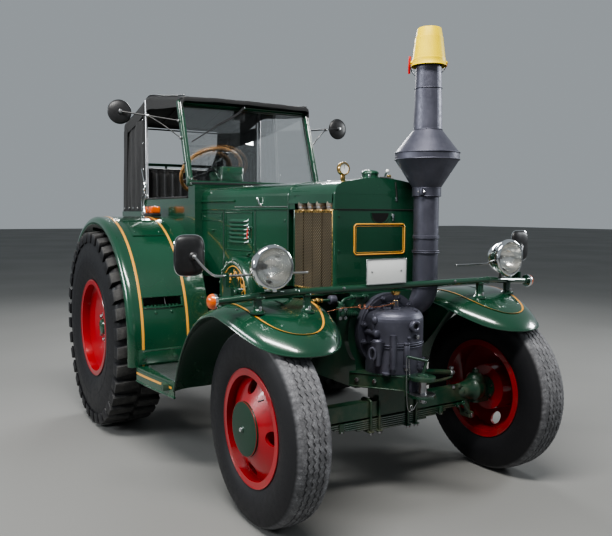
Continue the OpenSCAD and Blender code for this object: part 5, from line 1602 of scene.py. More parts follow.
wheel = Form(rim_wood, steel, black_plastic, chrome)
rim = [(WHEEL_R + RIM_HALF * cosd(a), RIM_HALF * sind(a)) for a in range(0, 361, 24)]
wheel.turned(rim, (0, 0, 0), "z", 0, 96)
for grip in circle((0, 0, -0.008), 0.2155, "XY", [360 * k / GRIPS for k in range(GRIPS)]):
    wheel.ball(grip, 0.0075, 0, (1.4, 1.4, 1), 6)
for k in range(SPOKES):
    turned_by = Matrix.Rotation(math.radians(90 + 360 * k / SPOKES), 4, "Z")
    wheel.add(thick(moulded(10, 2, spoke), 0.005), 1, turned_by)
wheel.turned(HUB, (0, 0, 0), "z", 2, 40)
wheel.turned(HORN_BUTTON, (0, 0, 0), "z", 3, 24)
bmesh.ops.transform(wheel.bm, matrix=turn, verts=wheel.bm.verts)
wheel.piece("steering_wheel_rim", "root", ["steering_wheel"])

cab = Form(green_enamel, steel, black_plastic, white_enamel, chrome, leather, handle_red)
# collars on the column and its bracket
cab.drum(column_top - lean * 0.10, column_top - lean * 0.035, 0.031, 0)
cab.drum(column_foot + lean * 0.10, column_foot + lean * 0.13, 0.036, 0)
throttle = column_top - lean * 0.07
cab.tube([throttle + Vector(by) for by in ((0, 0, 0), (0.02, 0.09, 0.01), (0.03, 0.15, 0.03))], 0.005,
         4)
cab.ball(throttle + Vector((0.03, 0.155, 0.032)), 0.012, 2, detail=8)
# instrument box with its dials, at the right of the dash
cab.block((-0.232, -0.250, 1.655), (-0.178, -0.085, 1.782), 0.012, 0)
for y, z, r in ((-0.205, 1.735, 0.028), (-0.130, 1.735, 0.028), (-0.168, 1.688, 0.014)):
    cab.turned([(0.0, 0.004), (r * 0.9, 0.004), (r * 0.95, 0.009), (r * 1.1, 0.008), (r * 1.15, 0.0)],
               (-0.232, y, z), (-1, 0, 0), 4, 32)
    cab.turned([(0.0, 0.0050), (r * 0.88, 0.0050)], (-0.232, y, z), (-1, 0, 0), 3, 32)
    cab.block((-0.2378, y - 0.0008, z), (-0.2372, y + 0.0008, z + r * 0.75), 0.0002, 2)
for y in (-0.06, -0.02, 0.02):
    cab.drum((-0.176, y, 1.585), (-0.205, y, 1.585), 0.011, 4)
cab.drum((-0.176, 0.085, 1.585), (-0.200, 0.085, 1.585), 0.016, 6)
# rail behind the seat
RAIL_X = -1.420
rail = [(-0.405, 1.44), (-0.405, 1.70), (-0.400, 1.838), (-0.375, 1.858), (-0.30, 1.860)]
rail += [(-y, z) for y, z in reversed(rail)]
cab.tube([(RAIL_X, y, z) for y, z in rail], 0.0115, 0, 12)
for y in (-0.2, 0.2):
    cab.drum((RAIL_X, y, 1.30), (RAIL_X, y, 1.86), 0.010, 0)
# leather pads along the waist of the tub
for sign in (-1, 1):
    cab.tube([(x, sign * 0.490, 1.5665) for x in steps_between(-0.20, -1.100, 8)], 0.0095, 5, 12)
    cab.tube([(x, sign * 0.490, 1.4785) for x in (-1.125, -1.4, -1.665)], 0.006, 5, 8)
cab.tube([(-1.665, y, 1.4785) for y in (-0.49, 0.0, 0.49)], 0.006, 5, 8)
# floor boards and pedals
for i in range(7):
    y = -0.44 + i * 0.127
    cab.block((-1.05, y, 0.908), (-0.20, y + 0.120, 0.922), 0.003, 2)
for y in (-0.34, -0.06):
    cab.tube([(-0.20, y, 1.10), (-0.30, y, 1.08), (-0.38, y, 1.12)], 0.011, 1)
    cab.block((-0.412, y - 0.040, 1.085), (-0.392, y + 0.040, 1.165), 0.006, 2)
cab.piece("cab_inside")

# %% Hand levers, as rods with ball knobs
levers = Form(chrome, black_plastic, steel)
for foot, head in (((-0.420, 0.060, 0.924), (-0.520, 0.090, 1.500)),
                   ((-0.420, 0.120, 0.924), (-0.480, 0.160, 1.440))):
    foot, head = Vector(foot), Vector(head)
    levers.tube([foot, foot.lerp(head, 0.5) + Vector((0.012, 0, 0)), head], 0.0095, 0, 12)
    levers.ball(head, 0.0215, 1, (1, 1, 1.12), 12)
    levers.turned([(0.034, 0.0), (0.030, 0.012), (0.018, 0.030), (0.012, 0.060)], foot, "z", 1, 24)
levers.piece("hand_lever_rods", "root", ["hand_levers"])

# %% [markdown]
# ## The windscreen
# Its frame stays as built. On it go the rubber of the pane, the clamp bolts, the green strips on the
# posts, the wiper with its motor, and the brackets that it stands on. The frame leans, so points are
# given in its own plane.

# %% Windscreen fittings
def on_screen(y, z, out=0.0):
    """A point before the leaning windscreen, at a height above the ground."""
    x = -0.130 - 0.190 * (z - 1.644) / 0.582
    return Vector((x + out * 0.951, y, z + out * 0.310))


INSIDE_Y, LOW_Z, HIGH_Z = 0.478, 1.676, 2.194
screen = Form(black_plastic, green_enamel, chrome, steel)
corners = ((-INSIDE_Y, LOW_Z), (INSIDE_Y, LOW_Z), (INSIDE_Y, HIGH_Z), (-INSIDE_Y, HIGH_Z),
           (-INSIDE_Y, LOW_Z))
outline = [on_screen(y, z, -0.016) for y, z in corners]
screen.tube(outline, 0.0062, 0, 8, smooth=False)
for sign in (-1, 1):
    screen.tube([on_screen(sign * 0.496, z, 0.002) for z in (1.66, 1.9, 2.21)], 0.0060, 1, 10)
    screen.tube([on_screen(sign * 0.5105, z, 0.001) for z in (1.66, 1.9, 2.21)], 0.0028, 1, 8)
    screen.bolts([on_screen(sign * 0.495, z, 0.004) for z in (1.70, 1.84, 1.98, 2.12)], (0.95, 0, 0.31),
                 0.006, 0.003, 1)
    screen.block((-0.178, sign * 0.505 - 0.010, 1.640), (-0.118, sign * 0.505 + 0.010, 1.700), 0.004, 1)
    screen.bolts([(-0.118, sign * 0.505, z) for z in (1.655, 1.685)], (1, 0, 0), 0.006, 0.004, 3)
    for z in (1.800, 1.970, 2.087):
        screen.drum(on_screen(sign * 0.512, z, -0.018), on_screen(sign * 0.527, z, -0.018), 0.011, 3,
                    0.003, 16)
screen.tube([on_screen(y, 2.210, 0.002) for y in (-0.495, 0.0, 0.495)], 0.0060, 1, 10)
screen.tube([on_screen(y, 1.6600, 0.003) for y in (-0.495, 0.0, 0.495)], 0.0055, 0, 10)
screen.tube([on_screen(y, 1.6520, 0.009) for y in (-0.49, -0.2, 0.0)], 0.0020, 0, 8)
# wiper motor, arm and blade
WIPER = (-0.029, 2.205)
screen.drum(on_screen(*WIPER, -0.055), on_screen(*WIPER, 0.016), 0.013, 0)
screen.ball(on_screen(*WIPER, 0.016), 0.013, 3, detail=8)
screen.block(on_screen(-0.075, 2.150, -0.110), on_screen(0.020, 2.225, -0.050), 0.012, 0)
arm = ((*WIPER, 0.022), (-0.075, 2.155, 0.024), (-0.160, 2.105, 0.018), (-0.250, 2.062, 0.012))
blade = ((-0.247, 2.062, 0.012), (-0.350, 1.998, 0.007), (-0.452, 1.938, 0.006))
screen.tube([on_screen(*at) for at in arm], 0.0080, 0, 10)
screen.tube([on_screen(*at) for at in blade], 0.0042, 0, 8)
screen.piece("windscreen_fittings", crease=40)

# %% [markdown]
# ## Mirrors
# A round pair stands on long arms at the windscreen posts, each with a brace, and a square pair with
# rounded corners on bent rods at the ends of the lamp bar. From the front only their backs show:
# domed shells with a rim.

# %% Round mirrors
MIRROR_SHELL = [(0.0, 0.0115), (0.020, 0.0113), (0.045, 0.0095), (0.066, 0.0045), (0.0775, -0.0015),
                (0.0805, -0.006), (0.0805, -0.0105), (0.0775, -0.0120)]
for side, sign in sides():
    disc = Form(black_plastic, chrome, mirror_glass, steel)
    centre = Vector((-0.435, 0.875, 2.132))
    disc.turned(MIRROR_SHELL, centre, "x", 0, 64)
    disc.turned([(0.0775, -0.0118), (0.0765, -0.0085), (0.0, -0.0085)], centre, "x", 2, 64)
    disc.drum(centre + Vector((0.009, 0, 0)), centre + Vector((0.022, 0, 0)), 0.014, 3)
    post = on_screen(0.521, 2.087, -0.016)
    disc.tube([centre + Vector((0.018, 0, 0)), centre.lerp(post, 0.4) + Vector((0.010, 0, 0.002)),
               post], 0.0050, 0)
    brace = [centre.lerp(post, 0.46) + Vector((0.012, 0, 0)),
             centre.lerp(post, 0.7) + Vector((0.016, 0, -0.035))]
    disc.tube(brace + [on_screen(0.522, 1.970, -0.016)], 0.0040, 0)
    clamp = [centre.lerp(post, share) + Vector((0.01, 0, 0)) for share in (0.43, 0.49)]
    disc.drum(*clamp, 0.012, 3)
    disc.on_side(sign).piece("round_mirror_" + side, "root", ["top_mirrors"] if sign > 0 else ())


# %% Square mirrors with rounded corners
MIRROR, SQUARENESS = Vector((1.276, 1.072, 1.270)), 4.0
SHELL_ROWS = [(0.0, 0.0135), (0.25, 0.0130), (0.5, 0.0115), (0.72, 0.0085), (0.86, 0.0040),
              (0.945, -0.0030), (0.965, -0.0090), (0.960, -0.0120)]
GLASS_ROWS = [(0.0, -0.0110), (0.5, -0.0110), (0.955, -0.0110)]
ROUND = steps_between(0, 1, 65)


def rounded(share, out, half_w=0.0742, half_h=0.0942):
    """A point on a square with soft corners, at a share of the way round it and out from the mirror."""
    c, s = math.cos(2 * math.pi * share), math.sin(2 * math.pi * share)
    reach = (abs(c) ** SQUARENESS + abs(s) ** SQUARENESS) ** (-1 / SQUARENESS)
    return Vector((out, half_w * c * reach, half_h * s * reach))


def mirror_sheet(rows, sign):
    """A closed sheet from rows of (size, out), facing forwards where sign is positive."""
    def shape(share, row):
        at = rounded(share, row[1])
        return MIRROR + Vector((at.x, at.y * row[0], at.z * row[0]))
    return facing(welded(lattice(ROUND, rows, shape)), 0, sign)


for side, sign in sides():
    square = Form(black_plastic, chrome, mirror_glass, steel)
    square.add(mirror_sheet(SHELL_ROWS, 1))
    square.tube([MIRROR + rounded(share, -0.0085, 0.0722, 0.0922) for share in ROUND], 0.0028, 1, 8,
                smooth=False)
    square.add(mirror_sheet(GLASS_ROWS, -1), 2)
    hub = MIRROR + Vector((0.0125, -0.010, -0.004))
    square.turned([(0.0, 0.010), (0.010, 0.0095), (0.018, 0.005), (0.022, -0.002)], hub, "x", 0, 28)
    square.ball(hub + Vector((0.012, 0, 0)), 0.0095, 3, detail=10)
    # bent rod held by the clamp on the bar
    rod = [hub + Vector((0.014, 0, 0)), Vector((1.318, 1.030, 1.222)), Vector((1.336, 0.985, 1.178)),
           Vector((1.338, 0.950, 1.175)), Vector((1.338, 0.72, 1.175)), Vector((1.338, 0.492, 1.175))]
    square.tube(rod, 0.0060, 3, 12)
    square.ball(rod[-1], 0.0070, 3, detail=8)
    square.on_side(sign).piece("square_mirror_" + side, "root", ["bar_mirrors"] if sign > 0 else ())

# %% [markdown]
# ## The cylinder head and its pipes
# The head's castings stay as built. Set on them are the ring of studs and nuts, the ribs and lugs of
# the lower half, the parting seam, the brass oil cup and its thin copper pipe with a coil in it.

# %% Head fittings
CRANK_Z, BARREL_X, STUDS, STUD_R = 0.852, 1.396, 12, 0.176
HEAD_FLANGE = [(0.1985, 0.004), (0.1985, 0.030), (0.1950, 0.0345), (0.185, 0.0345), (0.184, 0.0360),
               (0.158, 0.0360), (0.157, 0.033)]
SIDE_CAP = [(0.0, 0.008), (0.022, 0.007), (0.028, 0.0), (0.028, -0.020)]
SIDE_BOSS = [(0.0, 0.018), (0.012, 0.017), (0.0185, 0.012), (0.0200, 0.0), (0.0190, -0.030)]
FRONT_BOSS = [(0.0135, -0.008), (0.0140, 0.004), (0.0180, 0.0085), (0.0260, 0.0085), (0.0305, 0.004),
              (0.0315, -0.012)]
OIL_CUP = [(0.0, 0.052), (0.0215, 0.0535), (0.0245, 0.0510), (0.0245, 0.0450), (0.0180, 0.034),
           (0.0105, 0.020), (0.0090, 0.010), (0.0125, 0.004), (0.0125, 0.0)]
head = Form(graphite, brass, copper, steel, black_plastic)
for angle in (15 + 360 / STUDS * k for k in range(STUDS)):
    y, z = STUD_R * cosd(angle), CRANK_Z + STUD_R * sind(angle)
    head.drum((1.364, y, z), (1.390, y, z), 0.0095, 0, 0.002, 12)
    head.drum((1.364, y, z), (1.378, y, z), 0.0165, 0, 0.002, 6)
head.turned(HEAD_FLANGE, (1.330, 0, CRANK_Z), "x", 0, 96)
# the seam round the barrel, and the rolled edge above it
ring = circle((BARREL_X, 0, 0.8035), 0.1555, "XY", range(-84, 85, 6))
head.tube(ring, 0.0035, 0, 8)
head.tube([p + Vector((0, 0, -0.012)) for p in ring], 0.0022, 0, 8)
head.tube([p + Vector((0, 0, 0.010)) for p in ring[8:20]], 0.0030, 0, 8)
# lower half: half-round ribs that carry the bolts, and a lug with a loop
for angle, low, top in ((-39, 0.672, 0.700), (-12, 0.705, 0.806), (24, 0.672, 0.706),
                        (52, 0.672, 0.706)):
    x, y = BARREL_X + 0.150 * cosd(angle), 0.150 * sind(angle)
    for z0, z1, radius, finish, ease, count in (
            (low, top, 0.0175, 0, 0.004, 24), (0.690, 0.706, 0.0200, 0, 0.002, 6),
            (0.676, 0.692, 0.0105, 3, 0.002, 12), (top, top + 0.014, 0.0190, 0, 0.004, 24)):
        head.drum((x, y, z0), (x, y, z1), radius, finish, ease, count)
for y in (-0.118, 0.118):
    head.drum((1.494, y, 0.655), (1.494, y, 0.668), 0.024, 0, 0.004, 24)
loop = [(1.466 + 0.013 * cosd(a), -0.186 + 0.010 * cosd(a), 0.764 + 0.030 * sind(a))
        for a in range(-70, 251, 20)]
head.tube(loop, 0.0070, 0, 10)
head.turned(SIDE_CAP, (1.462, -0.150, 0.826), "z", 0, 32)
head.turned(SIDE_BOSS, (1.450, -0.150, 0.860), (1, -0.25, 0), 0, 28)
# the round boss in front, with a black disc in its hole for painted shade, the plug and small bolts
# beside it
head.turned(FRONT_BOSS, (1.5645, 0.008, 0.900), "x", 0, 40)
head.turned([(0.0135, 0.0), (0.0, 0.0)], (1.5600, 0.008, 0.900), "x", 4, 24)
head.drum((1.546, 0.024, 0.844), (1.566, 0.026, 0.844), 0.0125, 3, 0.003, 6)
head.drum((1.545, -0.022, 0.842), (1.560, -0.023, 0.842), 0.0090, 0, 0.003, 16)
# upper half: hooded lug at the left of the view, small bosses on the dome
head.tube([(1.420, -0.150, 0.872), (1.428, -0.153, 0.905), (1.424, -0.146, 0.935),
           (1.410, -0.136, 0.950)], 0.0115, 0, 12)
head.ball((1.432, -0.148, 0.925), 0.020, 0, (1, 0.8, 1.2), 12)
head.drum((1.432, -0.072, 0.962), (1.436, -0.074, 0.990), 0.020, 0, 0.005, 24)
head.drum((1.436, -0.074, 0.990), (1.437, -0.0745, 1.000), 0.012, 0, 0.003, 6)
head.drum((1.440, -0.022, 0.968), (1.440, -0.022, 0.984), 0.026, 0, 0.004, 6)
head.drum((1.500, 0.052, 0.955), (1.506, 0.054, 0.977), 0.014, 0, 0.003, 6)
# brass oil cup
head.turned(OIL_CUP, (1.440, -0.022, 1.0145), "z", 1, 36)
head.drum((1.440, -0.022, 0.990), (1.440, -0.022, 1.016), 0.0155, 1, 0.002, 6)
# thin copper pipe with its coil, from the engine's side to the cup
before = [(1.30, -0.36, 0.965), (1.36, -0.30, 0.990), (1.400, -0.262, 0.996)]
coil = [(1.415 + 0.0005 * k, -0.235 + 0.0028 * k + 0.012 * cosd(40 * k), 0.998 + 0.012 * sind(40 * k))
        for k in range(19)]
after = [(1.425, -0.165, 0.992), (1.440, -0.110, 0.995), (1.452, -0.070, 1.003), (1.449, -0.040, 1.010),
         (1.441, -0.030, 1.008)]
head.tube(before + coil + after, 0.0026, 2, 8)
head.drum((1.441, -0.044, 1.004), (1.441, -0.028, 1.004), 0.0065, 1, 0.001, 6)
head.piece("cylinder_head_fittings")

# %% Pump, unions and brass fittings beside the head
FLANGE = [(0.0125, 0.0), (0.0185, 0.0015), (0.0185, 0.0055), (0.0125, 0.007)]
fit = Form(green_dusty_shaded, brass, steel, graphite)
fit.block((1.322, -0.312, 0.925), (1.352, -0.262, 0.992), 0.006, 0, 3)
fit.drum((1.337, -0.287, 0.990), (1.337, -0.287, 1.008), 0.0170, 0, 0.003, 6)
fit.bolts([(1.352, y, z) for y in (-0.303, -0.271) for z in (0.936, 0.981)], (1, 0, 0), 0.0070, 0.006,
          2)
fit.turned([(0.0, 0.012), (0.010, 0.011), (0.017, 0.006), (0.018, 0.0)], (1.352, -0.287, 0.958), "x", 0,
           24)
fit.drum((1.346, -0.264, 0.958), (1.352, -0.196, 0.950), 0.0125, 0, 0.002, 20)
for k in range(5):
    fit.turned(FLANGE, (1.346, -0.258 + 0.0115 * k, 0.957 - 0.0014 * k), "y", 0, 24)
fit.tube([(1.337, -0.287, 1.004), (1.338, -0.280, 1.026), (1.338, -0.240, 1.036),
          (1.337, -0.180, 1.038), (1.336, -0.120, 1.034)], 0.0080, 0, 12)
for y, r in ((-0.222, 0.0150), (-0.204, 0.0125), (-0.150, 0.0160), (-0.132, 0.0130)):
    fit.drum((1.337, y - 0.006, 1.0375), (1.337, y + 0.006, 1.0375), r, 0, 0.002, 6)
for y, r, long, finish, count in ((-0.412, 0.0120, 0.016, 1, 6), (-0.392, 0.0165, 0.018, 1, 6),
                                  (-0.366, 0.0120, 0.012, 1, 6), (-0.310, 0.0240, 0.036, 3, 20)):
    fit.drum((1.262, y, 1.020), (1.262, y + long, 1.020), r, finish, 0.003, count)
fit.tube([(1.262, -0.420, 1.020), (1.262, -0.350, 1.020), (1.262, -0.262, 1.016),
          (1.300, -0.250, 0.990)], 0.0075, 0, 12)
fit.piece("engine_side_fittings")

# %% [markdown]
# ## The exhaust stack and the yellow pail
# The stack is a welded pipe, so it gets its weld beads and its flange bolts. A yellow pail is turned
# over its end against rain. It is thin plastic with a rim, two rings, and a red bail handle.

# %% Stack and pail
tops = [v.co for v in nodes["exhaust_stack"].data.vertices if v.co.z > 2.35]
STACK = Vector((sum(c.x for c in tops) / len(tops), sum(c.y for c in tops) / len(tops), 0))
print("stack stands at", [round(c, 3) for c in STACK])
WELDS = ((1.256, 0.0722, 0.0026), (1.266, 0.0722, 0.0026), (1.5565, 0.0752, 0.0026),
         (1.5995, 0.0757, 0.0026), (1.7480, 0.1705, 0.0034), (1.7835, 0.1705, 0.0034),
         (1.9050, 0.0768, 0.0026), (2.120, 0.0708, 0.0026), (1.082, 0.0735, 0.0026))
BAND = [(0.0725, 0.0), (0.0770, 0.002), (0.0770, 0.040), (0.0725, 0.042)]
SLEEVE = [(0.0675, 0.0), (0.0715, 0.001), (0.0715, 0.016), (0.0675, 0.018)]
CLAMP_BLOCK = Vector((0.012, 0.012, 0.018))
stack = Form(graphite, steel)
for z, radius, size in WELDS:
    stack.tube(circle(STACK + Vector((0, 0, z)), radius, "XY", range(0, 361, 10)), size, 0, 8,
               smooth=False)
stack.turned(BAND, STACK + Vector((0, 0, 1.557)), "z", 0, 64)
stack.turned(SLEEVE, STACK + Vector((0, 0, 1.330)), "z", 0, 64)
for angle in (-60, 120):
    at = STACK + Vector((0.080 * cosd(angle), 0.080 * sind(angle), 1.577))
    bolt = Vector((0.02 * sind(angle), -0.02 * cosd(angle), 0))
    stack.block(at - CLAMP_BLOCK, at + CLAMP_BLOCK, 0.004, 0)
    stack.drum(at - bolt, at + bolt, 0.007, 1, 0.002, 6)
stack.piece("stack_beads", crease=40)

pail = Form(bucket_yellow, handle_red, steel)
FOOT, TALL = 2.236, 0.197
skin = [(0.0, TALL), (0.058, TALL - 0.0006), (0.0618, TALL - 0.003), (0.0634, TALL - 0.009),
        (0.0700, 0.150), (0.0705, 0.147), (0.0724, 0.1465), (0.0728, 0.143), (0.0855, 0.038),
        (0.0872, 0.0365), (0.0878, 0.031), (0.0872, 0.028), (0.0888, 0.013), (0.0908, 0.008),
        (0.0930, 0.004), (0.0935, 0.0), (0.0915, -0.0005), (0.0885, 0.006), (0.0855, 0.030),
        (0.0615, 0.190), (0.0, 0.1935)]
pail.turned(skin, STACK + Vector((0, 0, FOOT)), "z", 0, 80)
# the handle's ends lie across the camera's view, and it hangs down on the far side
across = Vector((right.x, right.y, 0)).normalized()
away = Vector((LOOK.x, LOOK.y, 0)).normalized()


def at_pail(beside, beyond, up):
    """A point by the pail: beside its middle to the view's right, beyond it, and up from its foot."""
    return STACK + across * beside + away * beyond + Vector((0, 0, FOOT + up))


for ear_side in (-1, 1):
    pail.drum(at_pail(ear_side * 0.0845, 0, 0.020), at_pail(ear_side * 0.0965, 0, 0.020), 0.009, 0,
              0.002, 16)
bail = [at_pail(-0.0985 * cosd(a), 0.088 * sind(a), 0.022 - 0.070 * sind(a)) for a in range(0, 181, 12)]
pail.tube(bail, 0.0028, 2, 8)
pail.tube([at_pail(-0.1000, 0, 0.052), at_pail(-0.1045, 0.006, 0.010), at_pail(-0.1000, 0.020, -0.034)],
          0.0062, 1, 10)
pail.drum(at_pail(0.088, 0, 0.006), at_pail(0.096, 0, 0.006), 0.0075, 1, 0.002, 16)
pail.piece("rain_pail_shell", "root", ["rain_pail"])

# %% [markdown]
# ## The flywheel casings
# Each flywheel runs in a round casing of sheet. Its face is dished, its edge is rolled and bolted,
# and a gold line with leaf scrolls is painted round it, as on a circus wagon.

# %% Casings
CASE = Vector((0.400, 0, 0.985))
CASE_BOLTS, SCROLLS, SCROLL_STEPS = 14, 10, 12
LEAVES = ((3, 0.018), (6, 0.020), (9, 0.016), (12, 0.012))
case_points = [v.co for v in nodes["flywheel_cases"].data.vertices]
CASE_OUT, CASE_R = -min(c.y for c in case_points), max(c.z for c in case_points) - CASE.z
# the face: its radii, as a share of the casing's radius and more, and its depth behind the outer face
FACE = ((0, 0.0, 0.030), (0, 0.050, 0.030), (0, 0.060, 0.024), (0.62, 0, 0.020), (0.68, 0, 0.012),
        (0.80, 0, 0.004), (1, -0.030, 0.0012), (1, -0.016, 0.0035), (1, -0.006, 0.010),
        (1, -0.0012, 0.022), (1, -0.0008, 0.060))
dish = [(CASE_R * share + more, CASE_OUT - depth) for share, more,
        depth in FACE] + [(CASE_R - 0.0008, 0.30)]


def on_case(radius, angle, depth):
    """A point on the casing's face, at an angle in radians."""
    return CASE + Vector((radius * math.cos(angle), CASE_OUT - depth, radius * math.sin(angle)))


def scroll_from(start):
    """One painted scroll that winds outwards from an angle."""
    points = []
    for t in steps_between(0, 1, SCROLL_STEPS + 1):
        radius = CASE_R * (0.40 + 0.20 * t) + 0.022 * math.sin(2 * math.pi * t)
        points.append(on_case(radius, start + 0.42 * t + 0.20 * math.sin(math.pi * t),
                              0.0205 - 0.0015 * t))
    return points


def leaf_of(size, turn):
    """A flat painted leaf, turned in the casing's plane."""
    leaf = bmesh.new()
    bmesh.ops.create_uvsphere(leaf, u_segments=10, v_segments=6, radius=1.0)
    bmesh.ops.scale(leaf, vec=(size, 0.0016, size * 0.42), verts=leaf.verts)
    bmesh.ops.rotate(leaf, cent=(0, 0, 0), matrix=Matrix.Rotation(-turn, 3, "Y"), verts=leaf.verts)
    return leaf


for side, sign in sides():
    case = Form(green_enamel, gold_line, chrome, steel)
    case.turned(dish, CASE, "y", 0, 96)
    rim_angles = [2 * math.pi * (k + 0.5) / CASE_BOLTS for k in range(CASE_BOLTS)]
    case.bolts([on_case(CASE_R - 0.024, angle, 0.0015) for angle in rim_angles], (0, 1, 0), 0.0075,
               0.004, 0)
    boss = [(0.0, CASE_OUT - 0.010), (0.020, CASE_OUT - 0.011), (0.026, CASE_OUT - 0.016),
            (0.028, CASE_OUT - 0.030)]
    case.turned(boss, CASE, "y", 0, 36)
    case.bolts([on_case(0, 0, 0.011)], (0, 1, 0), 0.008, 0.006, 3)
    for share, size in ((0.72, 0.0030), (0.735, 0.0014)):
        line = circle(on_case(0, 0, 0.0092), CASE_R * share, "XZ", range(0, 361, 6))
        case.tube(line, size, 1, 8, smooth=False)
    for k in range(SCROLLS):
        start = 2 * math.pi * k / SCROLLS
        scroll = scroll_from(start)
        case.tube(scroll, 0.0022, 1, 8)
        for step, size in LEAVES:
            case.add(leaf_of(size, start + step * 0.5), 1,
                     Matrix.Translation(scroll[step] + Vector((0, 0.0008, 0))))
    case.on_side(sign).piece("flywheel_casing_" + side, "root", ["flywheel_cases"] if sign > 0 else (),
                             32)

# %% [markdown]
# ## Front axle and spring
# Six thin leaves hang under the beam, held by U bolts and clips. The beam ends in a cupped forging,
# and a ball housing turns in it with the wheel. Edges of springs and bolts are rubbed bright, so they
# get the steel finish.

# %% Leaf spring
LEAF_HALVES, LEAF_TOP, LEAF_PITCH = (0.500, 0.440, 0.370, 0.300, 0.230, 0.160), 0.410, 0.011
spring = Form(green_dusty_shaded, steel)
for k, half in enumerate(LEAF_HALVES):
    top = LEAF_TOP - LEAF_PITCH * k
    spring.block((1.3440, -half, top - 0.0096), (1.4060, half, top - 0.0004), 0.0022, 0, 3)
    spring.block((1.3446, -half - 0.0002, top - 0.0060), (1.4064, half + 0.0002, top - 0.0040), 0.0008,
                 1, 2)
    for end in (-1, 1):
        spring.drum((1.3445, end * (half - 0.012), top - 0.005),
                    (1.4055, end * (half - 0.012), top - 0.005), 0.0046, 1, 0.001, 12)
for y in (-0.150, -0.095, 0.095, 0.150):
    for x in (1.3365, 1.4135):
        spring.drum((x, y, 0.332), (x, y, 0.506), 0.0068, 0, 0.001, 12)
        spring.drum((x, y, 0.330), (x, y, 0.341), 0.0120, 1, 0.002, 6)
    spring.tube([(1.3365, y, 0.500), (1.345, y, 0.5085), (1.375, y, 0.5100), (1.405, y, 0.5085),
                 (1.4135, y, 0.500)], 0.0068, 0, 10)
    spring.block((1.326, y - 0.016, 0.3405), (1.424, y + 0.016, 0.3480), 0.002, 0)
for y in (-0.460, -0.330, 0.330, 0.460):
    low = 0.3990 if abs(y) > 0.4 else 0.3760
    for x in (1.3395, 1.4105):
        spring.block((x - 0.0035, y - 0.014, low - 0.012), (x + 0.0035, y + 0.014, 0.413), 0.0015, 0)
    spring.drum((1.334, y, low - 0.007), (1.416, y, low - 0.007), 0.0050, 1, 0.001, 10)
spring.piece("leaf_spring_pack", "root", ["leaf_spring"])

# %% Beam ends
PIVOT, SHACKLE_Z, EYE_Z = Vector((1.375, 0.620, 0.466)), 0.328, 0.4035
CUP = [(0.030, -0.155), (0.041, -0.130), (0.048, -0.095), (0.055, -0.060), (0.064, -0.040),
       (0.0700, -0.034), (0.0715, -0.028), (0.0700, -0.023), (0.0660, -0.022), (0.0620, -0.030),
       (0.045, -0.050), (0.030, -0.060)]
BALL_SHELL = [(0.0, 0.0635), (0.0135, 0.0620), (0.0270, 0.0575), (0.0400, 0.0495), (0.0500, 0.0395),
              (0.0570, 0.0285), (0.0615, 0.0160), (0.0635, 0.0), (0.0615, -0.0160), (0.0570, -0.0285),
              (0.0545, -0.0330), (0.0520, -0.0310), (0.0585, -0.0150), (0.0602, 0.0), (0.0560, 0.022),
              (0.045, 0.0405), (0.030, 0.052), (0.0, 0.0602)]
HUB_FLANGE = [(0.0, 0.090), (0.045, 0.088), (0.0600, 0.080), (0.0655, 0.066), (0.0660, 0.020),
              (0.0620, 0.012), (0.040, 0.008), (0.032, 0.004)]
for side, sign in sides():
    forging = Form(green_dusty_shaded, steel)
    forging.turned(CUP, PIVOT, "y", 0, 56)
    forging.tube([(1.375, 0.520, 0.440), (1.380, 0.545, 0.400), (1.381, 0.556, 0.362),
                  (1.378, 0.560, 0.334)], 0.0185, 0, 14)
    forging.drum((1.338, 0.560, SHACKLE_Z), (1.414, 0.560, SHACKLE_Z), 0.0215, 0, 0.004, 28)
    forging.drum((1.414, 0.560, SHACKLE_Z), (1.424, 0.560, SHACKLE_Z), 0.0140, 1, 0.002, 6)
    forging.drum((1.340, 0.500, EYE_Z), (1.410, 0.500, EYE_Z), 0.0135, 0, 0.003, 24)
    for x in (1.342, 1.408):
        forging.tube([(x, 0.500, EYE_Z), (x, 0.530, 0.362), (x, 0.560, SHACKLE_Z)], 0.010, 0, 10)
    forging.drum((1.400, 0.427, 0.496), (1.400, 0.427, 0.512), 0.0130, 1, 0.003, 6)
    forging.drum((1.398, 0.470, 0.495), (1.398, 0.470, 0.517), 0.0150, 0, 0.003, 6)
    forging.drum((1.405, 0.500, 0.470), (1.418, 0.500, 0.470), 0.0130, 0, 0.002, 6)
    forging.on_side(sign).piece("axle_end_" + side)

    ball = Form(green_dusty_shaded, steel)
    ball.turned(BALL_SHELL, PIVOT, (0.55, 0.835, 0.0), 0, 48)
    ball.turned(HUB_FLANGE, (1.375, 0.684, 0.463), "y", 0, 56)
    for nut in circle((1.375, 0.688, 0.463), 0.056, "XZ", range(20, 380, 60)):
        ball.drum(nut, nut + Vector((0, 0.011, 0)), 0.0075, 1, 0.001, 6)
    # the cap and bolt over the king pin, and the pin and nut at the steering arm's eye
    for x, y, low, high, radius, finish, ease, count in ((1.375, 0.620, 0.556, 0.578, 0.0190, 0, 0.004,
                                                          6),
                                                         (1.375, 0.620, 0.576, 0.586, 0.0080, 1, 0.002,
                                                          12),
                                                         (1.205, 0.590, 0.395, 0.452, 0.0110, 1, 0.003,
                                                          12),
                                                         (1.205, 0.590, 0.440, 0.456, 0.0170, 1, 0.003,
                                                          6)):
        ball.drum((x, y, low), (x, y, high), radius, finish, ease, count)
    ball.on_side(sign).piece("ball_housing_" + side, "knuckle_" + side, (), 35)

# %% [markdown]
# ## Front jaw, bracket and plate
# The jaw takes a towing pin. A steel shackle, a thin wire and a little chain hang from its handle.
# The bracket's face is closed by a rolled lip and bolts. The number plate is blank: white enamel in a
# raised steel edge.

# %% Front jaw
JAW_X, LINKS = 1.632, 9
